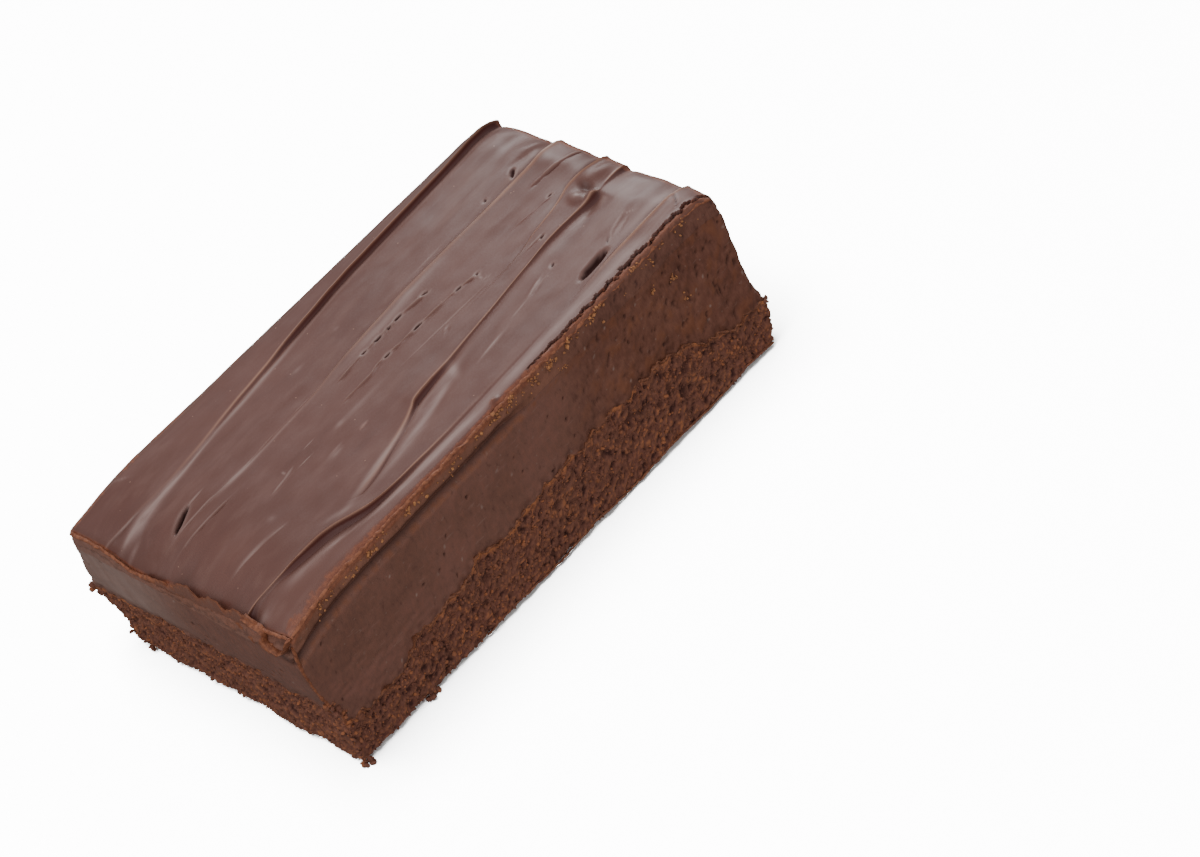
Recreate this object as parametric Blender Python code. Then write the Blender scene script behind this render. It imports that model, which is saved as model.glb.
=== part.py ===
"""A bar of layered chocolate fudge, cut from a slab.

Three layers run through the bar: a crumb base, a smooth fudge layer and a spread icing,
whose top keeps the folds that a knife drew along it. The bar lies flat on its base. +X runs
along it, +Y is its left side and +Z is up, and the origin is on the surface that it lies
on, under its middle. Sizes are in millimetres, and each mesh is turned into metres.
"""

import math

import bmesh
import bpy
from mathutils import Vector, noise

METRES = 0.001

# Driving dimensions: the plain box that the bar was cut to, and where its layers meet.
LENGTH = 94.0
WIDTH = 48.0
CROWN = 32.2
BASE_TOP = 13.5
ICING_FOOT = 28.0
GAP = 0.3
CORNER_RADIUS = 1.6

# The bar spreads further to its left than to its front, so its plain box stands off the
# origin by this much along X and Y.
BOX_MIDDLE = (0.0, -1.6)

# How far each upright corner stands out of the plain box: height, along X, along Y.
# The cuts lean, and the crumb base swells out under the fudge.
CORNERS = {
    (-1, -1): [(0, -0.5, 0.3), (7, -0.4, 0.8), (10.5, -0.8, 1.0), (17, 0.6, 1.3), (25, 1.1, 1.6),
               (31, 0.1, 1.7)],
    (1, -1): [(0, -0.5, 3.1), (7.4, 1.2, 2.7), (11, 0.2, 2.5), (17, -0.2, 2.0), (25, 0.4, 1.2),
              (31, -0.2, 0.7)],
    (-1, 1): [(0, -0.1, 3.5), (4, 0.0, 3.3), (8, 0.1, 5.4), (12.5, 0.4, 6.4), (19, 1.0, 3.8),
              (31, 1.6, -0.9)],
    (1, 1): [(0, 0.5, 1.5), (7, 1.0, 1.3), (14.5, 0.6, 1.4), (24, 0.5, -0.5), (31, 0.1, -2.0)],
}

# The icing droops towards both ends of the bar, top and foot alike: how much, and over what
# length. Its edge rolls over in a lip.
NEAR_END_DROOP = (2.1, 14.0)
FAR_END_DROOP = (1.8, 6.0)
LIP_WIDTH = 1.6
LIP_FALL = 0.5
LIP_INSET = 0.7

# The knife's folds run along the icing, one in each lane. A lane is a place across the plain
# box, and its route gives x, y and the fold's height. A fold's steep side faces the front
# where the height is positive, and the left where it is negative.
FOLDS = {
    17.0: [(-48, 15.0, 0.1), (-33, 13.8, 0.2), (-20, 15.2, 0.3), (0, 17.7, 0.6), (10, 18.7, 0.9),
           (30, 20.1, 1.0), (40, 21.6, 1.0), (48, 23.3, 1.1)],
    5.0: [(-48, 4.2, 0.0), (-35, 3.8, -0.1), (-25, 3.3, -0.15), (0, 5.0, -0.2), (20, 6.1, -0.2),
          (37, 7.0, -0.6), (48, 8.1, -1.9)],
    -5.0: [(-48, -3.0, 0.0), (0, -4.5, 0.0), (24, -5.6, -0.15), (35, -4.0, -0.4), (40, -2.9, -1.0),
           (48, -2.5, -1.7)],
    -12.0: [(-48, -11.0, 0.0), (-30, -15.5, 0.0), (-24, -16.8, 0.2), (-10, -14.0, 0.35), (-6, -12.5, 0.8),
            (2, -12.0, 0.8), (10, -11.0, 0.5), (25, -8.5, 0.5), (33, -7.6, 0.9), (39, -7.4, 0.8),
            (43, -7.4, 0.0)],
    -20.0: [(-48, -16.1, 0.4), (-38, -17.0, 0.35), (-31, -18.7, 0.8), (-25, -20.4, 0.8), (-15, -21.4, 0.4),
            (0, -21.4, 0.15), (20, -20.7, 0.1), (35, -20.0, -0.3), (48, -19.3, -1.3)],
}
FOLD_HALF_STEP = 0.25
FOLD_CREST_LENGTH = 2.2
FOLD_TROUGH_LENGTH = 1.8

# Dents and lumps in the icing: x, y, half length, half width, turn in degrees, height.
MARKS = [
    (36.8, -8.3, 2.6, 1.1, 8.0, -1.3),
    (26.5, -18.9, 3.0, 0.9, 6.0, -1.1),
    (-39.2, 5.7, 2.4, 0.7, 22.0, -0.8),
    (39.6, -4.6, 2.0, 1.6, 60.0, 0.6),
    (44.0, -4.2, 4.0, 1.4, 8.0, 0.5),
]

# The cut faces: how far they wander and over what length, and how rough the crumb is.
WANDER = (0.3, 17.0)
CRUMB = ((0.5, 3.4), (0.25, 1.7))
DRAG = (0.18, 4.0)
BOTTOM_EDGE = (1.5, 1.1)
UNDERSIDE_BELOW = 0.01

# Where the crumb base meets the fudge: a gentle wave, and along the front, as x and height,
# the course that the knife left when it dragged fudge down over both corners.
SEAM_WAVE = (1.0, 14.0)
SEAM_COURSE = [(-48, 9.5), (-37, 9.0), (-31, 11.6), (-20, 12.6), (-16, 14.6), (-11, 12.8), (0, 14.2),
               (10, 14.6), (25, 15.0), (31, 13.2), (38, 9.5), (48, 8.0)]
SEAM_COURSE_DEPTH = 4.0

# The seam under the icing: an open groove along the near half of the front.
SEAM_GROOVE = 0.7
SEAM_GROOVE_ELSEWHERE = 0.2
SEAM_GROOVE_END = 5.0
SEAM_GROOVE_FADE = 8.0

# The broad unevenness of the icing's top: its height, and its length along and across.
TOP_WAVE = (0.25, 30.0, 6.0)

# The grids that the layers are made on: the spacing of their stations, the levels between
# foot and top, and the share of faces that is left after thinning.
BASE_GRID = (2.0, [0.0, 0.07, 0.2, 0.36, 0.52, 0.68, 0.84, 1.0], 0.4)
FUDGE_GRID = (2.6, [0.0, 0.2, 0.4, 0.6, 0.8, 0.93, 1.0], 0.4)
ICING_GRID = (2.2, [0.0, 0.35, 0.7, 1.0], 0.5)
EDGE_STATION = 0.8
BESIDE_FOLD = (1.1, 2.6)
OTHER_LANES = [-24.0, -23.4, -16.1, 0.0, 9.3, 12.0, 21.4, 23.4, 24.0]

COLOURS = {
    "crumb_base": ((0.095, 0.035, 0.021), 0.85),
    "fudge_layer": ((0.100, 0.044, 0.032), 0.5),
    "icing": ((0.150, 0.080, 0.066), 0.4),
}


def follow(points, place, column=1):
    """The height of a smooth curve through points, read in one column at a place."""
    if place <= points[0][0]:
        return points[0][column]
    if place >= points[-1][0]:
        return points[-1][column]
    last = next(i for i, point in enumerate(points) if point[0] >= place)
    first = last - 1

    def slope(i):
        before, after = points[max(i - 1, 0)], points[min(i + 1, len(points) - 1)]
        return (after[column] - before[column]) / (after[0] - before[0])

    run = points[last][0] - points[first][0]
    u = (place - points[first][0]) / run
    ease = u * u * (3.0 - 2.0 * u)
    level = points[first][column] * (1.0 - ease) + points[last][column] * ease
    bend = slope(first) * u * (1.0 - u) ** 2 - slope(last) * u * u * (1.0 - u)
    return level + bend * run


def side_stations(size, spacing):
    """Even places along a side of the plain box, with one more just inside both ends."""
    count = round(size / spacing)
    even = [size * (i / count - 0.5) for i in range(count + 1)]
    return sorted([*even, EDGE_STATION - size / 2, size / 2 - EDGE_STATION])


def gridded_box(xs, ys, zs):
    """A closed box from the first to the last station of each list, cut at those between."""
    bm = bmesh.new()
    bmesh.ops.create_cube(bm, size=1.0)
    for vert in bm.verts:
        vert.co = [line[-1] if side > 0 else line[0] for line, side in zip((xs, ys, zs), vert.co)]
    for axis, line in enumerate((xs, ys, zs)):
        normal = Vector([float(axis == i) for i in range(3)])
        for place in line[1:-1]:
            everything = bm.verts[:] + bm.edges[:] + bm.faces[:]
            bmesh.ops.bisect_plane(bm, geom=everything, plane_co=normal * place, plane_no=normal)
    return bm


def rounded_corner(x, y):
    """A point of the plain box, with the box's upright corners rounded."""
    inner_x = max(abs(x) - (LENGTH / 2 - CORNER_RADIUS), 0.0) / CORNER_RADIUS
    inner_y = max(abs(y) - (WIDTH / 2 - CORNER_RADIUS), 0.0) / CORNER_RADIUS
    pull_x = inner_x * (1.0 - math.sqrt(1.0 - inner_y ** 2 / 2)) * CORNER_RADIUS
    pull_y = inner_y * (1.0 - math.sqrt(1.0 - inner_x ** 2 / 2)) * CORNER_RADIUS
    return x - math.copysign(pull_x, x), y - math.copysign(pull_y, y)


def on_cut_faces(x, y, z, inset=0.0):
    """Moves a point of the plain box to the bar's leaning, wandering cuts, less an inset."""
    x, y = rounded_corner(x, y)
    across_x, across_y = x / (LENGTH / 2), y / (WIDTH / 2)
    out_x = out_y = 0.0
    for (side_x, side_y), post in CORNERS.items():
        share = (1 + side_x * across_x) * (1 + side_y * across_y) / 4
        out_x += share * side_x * follow(post, z, 1)
        out_y += share * side_y * follow(post, z, 2)
    height, length = WANDER
    out_x += height * noise.noise(Vector((5.0, y / length, z / length))) * across_x
    out_y += height * noise.noise(Vector((x / length, 9.0, z / length))) * across_y
    out_x -= inset * across_x ** 7
    out_y -= inset * across_y ** 7
    return x + out_x, y + out_y


def on_side(x, y):
    """The way out of the bar at a point of the plain box, or a zero vector inside it."""
    way = [0.0, 0.0]
    if abs(x) > LENGTH / 2 - 0.01:
        way[0] = math.copysign(1.0, x)
    if abs(y) > WIDTH / 2 - 0.01:
        way[1] = math.copysign(1.0, y)
    return Vector(way)


def roughened(x, y, z, way, octaves):
    """Pushes a point of a side in or out by noise: octaves are heights and lengths."""
    push = sum(height * noise.noise(Vector((x, y, z)) / length) for height, length in octaves)
    return x + way.x * push, y + way.y * push


def seam_height(x, y):
    """Where the crumb base meets the fudge, a gentle wave that turns into the front's course."""
    height, length = SEAM_WAVE
    inside = BASE_TOP + height * noise.noise(Vector((x / length, y / length, 3.0)))
    share = math.exp(-(y + WIDTH / 2) / SEAM_COURSE_DEPTH)
    return inside * (1.0 - share) + follow(SEAM_COURSE, x) * share


def seam_groove(x, y):
    """How deep the seam under the icing is: an open groove along the front's near half."""
    if y > -WIDTH / 2 + 0.01:
        return SEAM_GROOVE_ELSEWHERE
    fade = min(max((SEAM_GROOVE_END - x) / SEAM_GROOVE_FADE, 0.0), 1.0)
    return SEAM_GROOVE_ELSEWHERE + (SEAM_GROOVE - SEAM_GROOVE_ELSEWHERE) * fade


def end_droop(x):
    """How far the icing hangs down near either end of the bar."""
    droop = 0.0
    for (height, length), to_end in ((NEAR_END_DROOP, x + LENGTH / 2), (FAR_END_DROOP, LENGTH / 2 - x)):
        droop += height * max(1.0 - to_end / length, 0.0) ** 2
    return droop


def lane_shift(x, lane):
    """How far a place across the plain box moves so that each lane lies on its fold."""
    knots = [(-WIDTH / 2, 0.0)]
    knots += [(place, follow(FOLDS[place], x, 1) - place) for place in sorted(FOLDS)]
    knots.append((WIDTH / 2, 0.0))
    for (low, low_shift), (high, high_shift) in zip(knots, knots[1:]):
        if lane <= high:
            return low_shift + (high_shift - low_shift) * (lane - low) / (high - low)
    return 0.0


def fold_relief(x, lane):
    """The folds' height at a place: each rises to a crest and drops in one steep step."""
    relief = 0.0
    for place, route in FOLDS.items():
        beside = lane - place
        if beside > FOLD_HALF_STEP:
            share = 0.5 * math.exp((FOLD_HALF_STEP - beside) / FOLD_CREST_LENGTH)
        elif beside < -FOLD_HALF_STEP:
            share = -0.5 * math.exp((FOLD_HALF_STEP + beside) / FOLD_TROUGH_LENGTH)
        else:
            share = 0.5 * beside / FOLD_HALF_STEP
        relief += share * follow(route, x, 2)
    return relief


def mark_relief(x, y):
    """The height of the dents and lumps at a place."""
    relief = 0.0
    for mark_x, mark_y, half_length, half_width, turn, height in MARKS:
        turn = math.radians(turn)
        along = (x - mark_x) * math.cos(turn) + (y - mark_y) * math.sin(turn)
        aside = (y - mark_y) * math.cos(turn) - (x - mark_x) * math.sin(turn)
        relief += height * math.exp(-((along / half_length) ** 4) - (aside / half_width) ** 2)
    return relief


def icing_top(x, lane):
    """The icing's upper surface, which rolls over at its lip."""
    top = CROWN - end_droop(x) + fold_relief(x, lane) + mark_relief(x, lane + lane_shift(x, lane))
    height, along, across = TOP_WAVE
    top += height * noise.noise(Vector((x / along, lane / across, 1.0)))
    to_edge = min(LENGTH / 2 - abs(x), WIDTH / 2 - abs(lane))
    if to_edge < LIP_WIDTH:
        top -= LIP_FALL * (1.0 - to_edge / LIP_WIDTH) ** 2
    return top


def new_object(name, bm, collection):
    """Turns a mesh in millimetres into a named object with its own material."""
    bmesh.ops.translate(bm, vec=(*BOX_MIDDLE, 0.0), verts=bm.verts)
    bmesh.ops.scale(bm, vec=(METRES,) * 3, verts=bm.verts)
    bmesh.ops.recalc_face_normals(bm, faces=bm.faces)
    mesh = bpy.data.meshes.new(name)
    bm.to_mesh(mesh)
    bm.free()
    mesh.shade_smooth()
    piece = bpy.data.objects.new(name, mesh)
    collection.objects.link(piece)
    colour, roughness = COLOURS[name]
    material = bpy.data.materials.new(name)
    material.use_nodes = True
    shader = material.node_tree.nodes["Principled BSDF"]
    shader.inputs["Base Color"].default_value = (*colour, 1.0)
    shader.inputs["Roughness"].default_value = roughness
    shader.inputs["Metallic"].default_value = 0.0
    mesh.materials.append(material)
    return piece


def thin_out(piece, share):
    """Leaves this share of the faces, and takes the rest from the flat and smooth places."""
    modifier = piece.modifiers.new("fewer_faces", "DECIMATE")
    modifier.decimate_type = "COLLAPSE"
    modifier.ratio = share
    modifier.use_collapse_triangulate = True


def flatten_underside(piece):
    """Thinning leaves the underside uneven by a hair: here it becomes flat, to rest on."""
    depsgraph = bpy.context.evaluated_depsgraph_get()
    thinned = bpy.data.meshes.new_from_object(piece.evaluated_get(depsgraph))
    piece.modifiers.clear()
    piece.data = thinned
    for vert in thinned.vertices:
        if vert.co.z < UNDERSIDE_BELOW * METRES:
            vert.co.z = 0.0


def make_crumb_base(collection):
    """The coarse crumb layer that the bar lies on."""
    spacing, levels, kept = BASE_GRID
    bm = gridded_box(side_stations(LENGTH, spacing), side_stations(WIDTH, spacing), levels)
    edge_height, edge_inset = BOTTOM_EDGE
    for vert in bm.verts:
        x, y, share = vert.co
        z = share * (seam_height(x, y) - GAP / 2)
        inset = edge_inset * max(1.0 - z / edge_height, 0.0) ** 2
        new_x, new_y = on_cut_faces(x, y, z, inset)
        new_x, new_y = roughened(new_x, new_y, z, on_side(x, y), CRUMB)
        vert.co = (new_x, new_y, z)
    piece = new_object("crumb_base", bm, collection)
    thin_out(piece, kept)
    flatten_underside(piece)


def make_fudge_layer(collection):
    """The dense smooth layer, dragged a little by the knife along its cuts."""
    spacing, levels, kept = FUDGE_GRID
    bm = gridded_box(side_stations(LENGTH, spacing), side_stations(WIDTH, spacing), levels)
    for vert in bm.verts:
        x, y, share = vert.co
        foot = seam_height(x, y) + GAP / 2
        z = foot + share * (ICING_FOOT - end_droop(x) - GAP / 2 - foot)
        inset = seam_groove(x, y) if share == 1.0 else 0.0
        new_x, new_y = on_cut_faces(x, y, z, inset)
        new_x, new_y = roughened(new_x, new_y, z, on_side(x, y), (DRAG,))
        vert.co = (new_x, new_y, z)
    thin_out(new_object("fudge_layer", bm, collection), kept)


def make_icing(collection):
    """The icing: its grid's rows follow the folds, so that each fold keeps a crisp step."""
    spacing, levels, kept = ICING_GRID
    beside = (FOLD_HALF_STEP, *BESIDE_FOLD)
    lanes = [lane + side * offset for lane in FOLDS for offset in beside for side in (-1, 1)]
    bm = gridded_box(side_stations(LENGTH, spacing), sorted(lanes + OTHER_LANES), levels)
    for vert in bm.verts:
        x, lane, share = vert.co
        foot = ICING_FOOT - end_droop(x) + GAP / 2
        y = lane + lane_shift(x, lane)
        z = foot + share * (icing_top(x, lane) - foot)
        inset = {0.0: seam_groove(x, lane), 1.0: LIP_INSET}.get(round(share, 3), 0.0)
        vert.co = (*on_cut_faces(x, y, z, inset), z)
    thin_out(new_object("icing", bm, collection), kept)


def main():
    for piece in list(bpy.data.objects):
        bpy.data.objects.remove(piece, do_unlink=True)
    collection = bpy.data.collections.new("chocolate_fudge")
    bpy.context.scene.collection.children.link(collection)
    make_crumb_base(collection)
    make_fudge_layer(collection)
    make_icing(collection)


main()
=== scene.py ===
"""The looks of a bar of layered chocolate fudge: a crumb base, a fudge layer and spread icing.

Lengths are in millimetres in the bar's plain box, whose middle stands a little off the
frame's origin, and are turned into metres as each mesh is made. +X runs along the bar, +Y is
its left side, +Z is up, and it lies on z = 0.
"""

import math

import bmesh
import bpy
import numpy as np
from mathutils import Matrix, Vector


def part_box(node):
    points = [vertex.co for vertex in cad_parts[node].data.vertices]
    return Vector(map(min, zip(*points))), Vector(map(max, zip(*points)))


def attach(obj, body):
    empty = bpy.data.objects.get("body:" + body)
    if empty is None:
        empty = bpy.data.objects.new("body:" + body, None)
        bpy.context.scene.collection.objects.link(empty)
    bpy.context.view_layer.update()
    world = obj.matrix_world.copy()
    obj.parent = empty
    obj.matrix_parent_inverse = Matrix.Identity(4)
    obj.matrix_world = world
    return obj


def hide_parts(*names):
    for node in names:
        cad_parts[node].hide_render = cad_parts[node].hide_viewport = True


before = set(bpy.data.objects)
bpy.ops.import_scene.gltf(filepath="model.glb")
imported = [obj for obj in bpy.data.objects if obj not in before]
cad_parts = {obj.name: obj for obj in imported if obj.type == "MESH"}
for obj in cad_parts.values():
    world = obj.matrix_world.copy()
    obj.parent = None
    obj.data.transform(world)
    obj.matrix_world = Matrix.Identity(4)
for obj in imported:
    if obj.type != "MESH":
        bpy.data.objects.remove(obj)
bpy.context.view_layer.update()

# ---- Sizes ----

MM = 0.001
SHARP_ANGLE = math.radians(65)

# The gap between the frame's layers, and the thinner one between the layers made here.
LAYER_GAP = 0.3
SEAM_GAP = 0.02

# Anything this near to a side of the plain box is on it.
ON_SIDE = 0.01

# How fine each layer's mesh is: the spacing of its columns and rows, and its levels.
ICING_COLUMN_STEP = 0.36
ICING_ROW_STEP = 0.2
ICING_LEVELS = 16
FUDGE_STEP = 0.3
FUDGE_LEVELS = 48
BASE_STEP = 0.25
BASE_LEVELS = 54

# The icing's closer rows: how far apart and how many at the front edge, how far apart beside
# each lane, and the least distance that is kept between any two.
EDGE_ROWS = (0.08, 22)
LANE_ROW_STEP = 0.1
LEAST_ROW_STEP = 0.055

# How many crumbs there are on the base's sides, beside the bright clusters and in each clump,
# and how deep their dents are.
GRAIN_COUNT = 6000
STRAY_CRUMBS = 60
CLUMP_LUMPS = 9
CRUMB_DENTS = 0.175

# Large and small pores, which get painted shade, and pale specks in the fudge: the size of their cells,
# a seed, where each fades out and is full, from its middle, and how few of the cells have one.
FUDGE_PORES = ((3.2, 81, 0.12, 0.06, 0.6), (1.7, 84, 0.15, 0.08, 0.8), (1.3, 87, 0.2, 0.1, 0.88))

FUDGE_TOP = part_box("fudge_layer")[1].z / MM
ICING_LOW, ICING_HIGH = (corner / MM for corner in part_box("icing"))

# The plain box that the bar was cut to, out of which its cuts lean. The icing's own box is
# larger by what the upright corners lean out at its height.
LENGTH = round(ICING_HIGH.x - ICING_LOW.x - 1.6)
WIDTH = round(ICING_HIGH.y - ICING_LOW.y - 2)
BOX_MIDDLE = (0, round((ICING_LOW.y + ICING_HIGH.y) / 2 + 0.5, 1), 0)
HALF_X = LENGTH / 2
HALF_Y = WIDTH / 2
BASE_TOP = 13.5
ICING_FOOT = round(FUDGE_TOP + LAYER_GAP / 2)
CROWN = ICING_FOOT + 4.2
CORNER_RADIUS = 0.7

# How far each upright corner stands out of the plain box: height, along X, along Y.
CORNERS = {
    (-1, -1): [(0, -0.5, 0.3), (7, -0.4, 0.8), (10.5, -0.8, 1), (17, 0.6, 1.3), (25, 1.1, 1.6),
        (31, 0.1, 1.7)],
    (1, -1): [(0, -0.6, 3), (7.4, 1.05, 2.6), (11, 0.2, 2.4), (17, -0.25, 2), (25, 0.3, 1.2),
        (31, -0.3, 0.7)],
    (-1, 1): [(0, -0.1, 3.5), (4, 0, 3.3), (8, 0.1, 5.4), (12.5, 0.4, 6.4), (19, 1, 3.8),
        (31, 1.6, -0.9)],
    (1, 1): [(0, 0.5, 1.5), (7, 1, 1.3), (14.5, 0.6, 1.4), (24, 0.5, -0.5), (31, 0.1, -2)],
}

# The icing droops towards both ends, top and foot alike: how much, over what length, and the
# power of the curve.
NEAR_END_DROOP = (2.1, 14, 2)
FAR_END_DROOP = (1.8, 9, 3)

# The icing's top rounds off at its edges: it falls over this width, by this much, and the cuts
# draw in under it.
LIP_WIDTH = 1
LIP_FALL = 0.4
LIP_INSET = 0.35

# The knife's folds run along the icing, one in each lane: x, y and the fold's height. The
# steep side faces the front where the height is positive, and the left where it is negative.
FOLDS = {
    17: [(-48, 15.6, 0.12), (-42, 14.6, 0.1), (-38, 13.7, 0.12), (-35, 13.5, 0.12), (-32, 13.65, 0.15),
        (-27, 14.4, 0.2), (-22, 15.4, 0.25), (-17, 16.3, 0.3), (-10, 17.25, 0.4), (-5, 18.1, 0.75),
        (0, 18.7, 0.95), (5, 19.4, 1), (10, 19.9, 1.05), (15, 20.2, 1.05), (22, 20.7, 1.1),
        (28, 21.1, 1.1), (33, 21.5, 1.1), (38, 22.1, 1.2), (42, 22.7, 1.3), (48, 23.3, 1.5)],
    5: [(-48, 5, 0), (-32, 4.8, -0.1), (-27, 4.6, -0.12), (-22, 5, -0.12), (-12, 5.5, -0.15),
        (-5, 6.6, -0.15), (0, 7, -0.2), (5, 7.4, -0.2), (10, 7.8, -0.2), (20, 8, -0.2), (30, 8.1, -0.25),
        (36, 8.1, -0.55), (39, 8, -0.9), (42, 8.2, -1.35), (48, 8.6, -2.5)],
    -5: [(-48, -3, 0), (0, -4.5, 0), (23, -4.9, -0.1), (28, -3.8, -0.2), (33, -3.2, -0.35),
        (35.5, -2.6, -0.5), (37.7, -2, -0.75), (39.5, -1.9, -1), (42.3, -2.2, -1.4), (48, -2.1, -2.2)],
    -12: [(-48, -11, 0), (-26, -15, 0), (-24, -16.4, 0.05), (-23, -16.7, 0.15), (-19, -16.05, 0.25),
        (-15, -14.8, 0.3), (-12, -13.9, 0.35), (-9.5, -13, 0.4), (-7.5, -12, 0.6), (-6, -11.2, 0.95),
        (-2.5, -10.7, 0.8), (2.5, -10.25, 0.45), (7.5, -9.65, 0.3), (12.5, -9.05, 0.3),
        (17.5, -8.35, 0.3), (22, -7.9, 0.32), (28, -7.3, 0.45), (33, -7.4, 0.5), (36, -7.6, 0.65),
        (38, -7.6, 1), (38.9, -7.55, 0.9), (39.8, -7.4, 0.12), (43, -6.8, 0.3), (48, -6.2, 1)],
    -20: [(-48, -14.8, 1), (-46.5, -14.8, 0.85), (-44.5, -14.9, 0.35), (-42, -15.5, 0.3),
        (-40, -15.95, 0.5), (-37, -16.4, 0.95), (-34, -16.8, 1.35), (-32, -17, 1.45), (-30, -17.55, 1.4),
        (-27, -18.9, 1.25), (-25, -19.6, 1.05), (-22, -20.1, 0.8), (-17, -20.3, 0.45),
        (-10, -20.65, 0.2), (-3, -20.6, 0.12), (8, -20.5, 0.08), (15, -20.3, 0), (22, -20, -0.1),
        (30, -19.4, -0.25), (36, -19.4, -0.5), (42, -19.35, -0.8), (48, -19.1, -1.4)],
}

# A fold's step: half its width, at least and for each millimetre of height, how far its crest
# and its trough reach, and how far the crest leans out.
FOLD_HALF_STEP = (0.12, 0.2)
FOLD_CREST_LENGTH = 2.2
FOLD_TROUGH_LENGTH = 1.1
FOLD_OVERHANG = 0.15

# Two more lanes carry fine scratches: x and y along each.
SCRATCH_LANES = {
    2: [(-48, 2.6), (-42.5, 2.4), (-32.5, 1.9), (-20, 2.6), (-8.5, 3.6), (-2, 4.1), (6, 4.25), (12, 3.8),
        (20, 4), (28, 4.2), (36, 3.9), (40.5, 3.5), (42.3, 3.2), (48, 2.3)],
    -2: [(-48, -0.5), (-20, -1.6), (-11, -0.6), (-5, -0.5), (-3, 0.1), (0, 0), (2, -0.2), (8, -0.35),
        (13.5, -0.65), (17.8, -1.3), (22, -1), (27, 0.1), (32, -0.3), (37, -0.8), (48, -0.4)],
}
ALL_LANES = {**FOLDS, **SCRATCH_LANES}

# Scratches: lane, from x, to x, height.
SCRATCHES = [
    (5, -41.5, -32.5, 0.1), (2, -42.8, -32.3, 0.12), (5, -31, -8, 0.08), (2, -8.8, 12.3, 0.14),
    (-2, -11.5, 18, 0.14), (-2, 26, 37, 0.05), (2, 35, 47, 0.22),
]

# Pits whose walls get painted shade, then softer dents and lumps, of which the deep dents get painted
# shade and the low lumps painted sheen: x, y, half length, half width, turn in degrees, height. A pit
# whose half width is over WIDE_PIT has a pale floor of painted sheen, and every pit a painted sheen
# round its edge.
WIDE_PIT = 0.6
PITS = [
    (26.7, -18.1, 3.2, 0.75, 5, -1.1), (-38.75, 6.5, 2.3, 0.42, 19, -1.1),
    (28, -5.8, 0.35, 0.2, 0, -0.3), (37.4, 9.8, 1.1, 0.35, 38, -0.5), (30.7, 9.5, 0.3, 0.2, 0, -0.25),
    (35.7, -0.3, 0.3, 0.18, 0, -0.25), (24.1, -11.7, 0.4, 0.2, 20, -0.3), (-2, 4.2, 0.5, 0.13, 0, -0.3),
    (1.2, 4.25, 0.75, 0.16, 0, -0.35), (3.5, 4.25, 0.4, 0.12, 0, -0.3), (5.7, 4.35, 0.8, 0.17, 0, -0.35),
    (11.4, 4, 0.6, 0.14, -15, -0.3), (-0.9, 0.1, 0.6, 0.17, 0, -0.35), (5.6, -0.2, 0.9, 0.17, 0, -0.35),
    (14.3, -0.65, 0.5, 0.18, 0, -0.35), (17.8, -1.25, 0.3, 0.2, 0, -0.3),
]
DENTS = [
    (36.8, -5.3, 1.3, 1, 80, 0.55), (39.3, -4.8, 1.4, 0.8, 80, -0.6), (38.3, -7.1, 0.9, 0.5, 0, 0.5),
    (36.2, -8.7, 1.9, 0.7, 8, -0.3), (-1.5, -23.2, 0.8, 0.5, 30, 0.7), (43.5, -4.4, 3.5, 1.2, 2, 0.35),
    (42, 10.6, 4.5, 0.7, -6, -0.25), (36, -16, 2.4, 0.5, 18, -0.2), (-46.6, -15.9, 1.2, 0.6, 0, -0.4),
    (-38, -8.9, 3.4, 0.2, -6, 0.06), (19, -12.4, 1.8, 0.3, 16, 0.1), (7, -14.6, 3, 0.3, 6, 0.06),
    (-4, -14.2, 6, 0.9, 14, -0.25), (-42, 11.3, 5, 1, 6, -0.2),
]

# Short strokes that the knife left: from x and y to x and y, and half width. Those with a negative width
# are dark lines of painted shade in a thin cut; the others are raised, with a pale line of painted
# sheen.
STROKES = [
    (30.8, -17.3, 33.5, -15.8, 0.2), (31, -17, 32.4, -16.2, -0.12), (33.4, -15.8, 37.3, -14.7, 0.2),
    (37.2, -14.7, 38.6, -16.2, 0.15), (32.3, -16.9, 36.8, -15.9, 0.2), (24.8, -5.3, 28.2, -5.4, 0.2),
    (43.9, -18.6, 44, -19.9, -0.14), (44, -19.9, 41.8, -22.4, -0.12), (17.9, -1.3, 17.2, -3.2, 0.15),
    (17.2, -3.1, 18.6, -3.6, 0.15), (0, -3.9, 16, -4.3, 0.12), (-29, -3.5, -26, -3.1, 0.2),
    (-26.2, -3.1, -24, -2.6, 0.2), (-25.5, -2.6, -25.3, -1.6, 0.1), (-23.5, -3.6, -21, -3.6, 0.12),
    (-20.5, -1.6, -18.6, -1.6, 0.12), (-20.4, -6.6, -17.2, -6.4, 0.24), (-20.2, -7.2, -17.6, -7.1, 0.2),
    (-14, -7, -12.4, -7, 0.24), (-42.5, -8.7, -36, -9.5, 0.11), (-36.2, -9.5, -31.5, -9.9, 0.09),
    (-47, 15.9, -40.5, 14.5, 0.2), (-36.4, 7.3, -33.3, 7.5, 0.18), (5, -14.8, 10, -14.5, 0.15),
    (12.5, -13.7, 17.5, -12.9, 0.15), (17.4, -13, 21, -11.8, 0.25), (17, -12.7, 21.8, -12.4, 0.15),
    (6.3, -5.3, 7.4, -4.7, 0.25),
]
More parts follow.
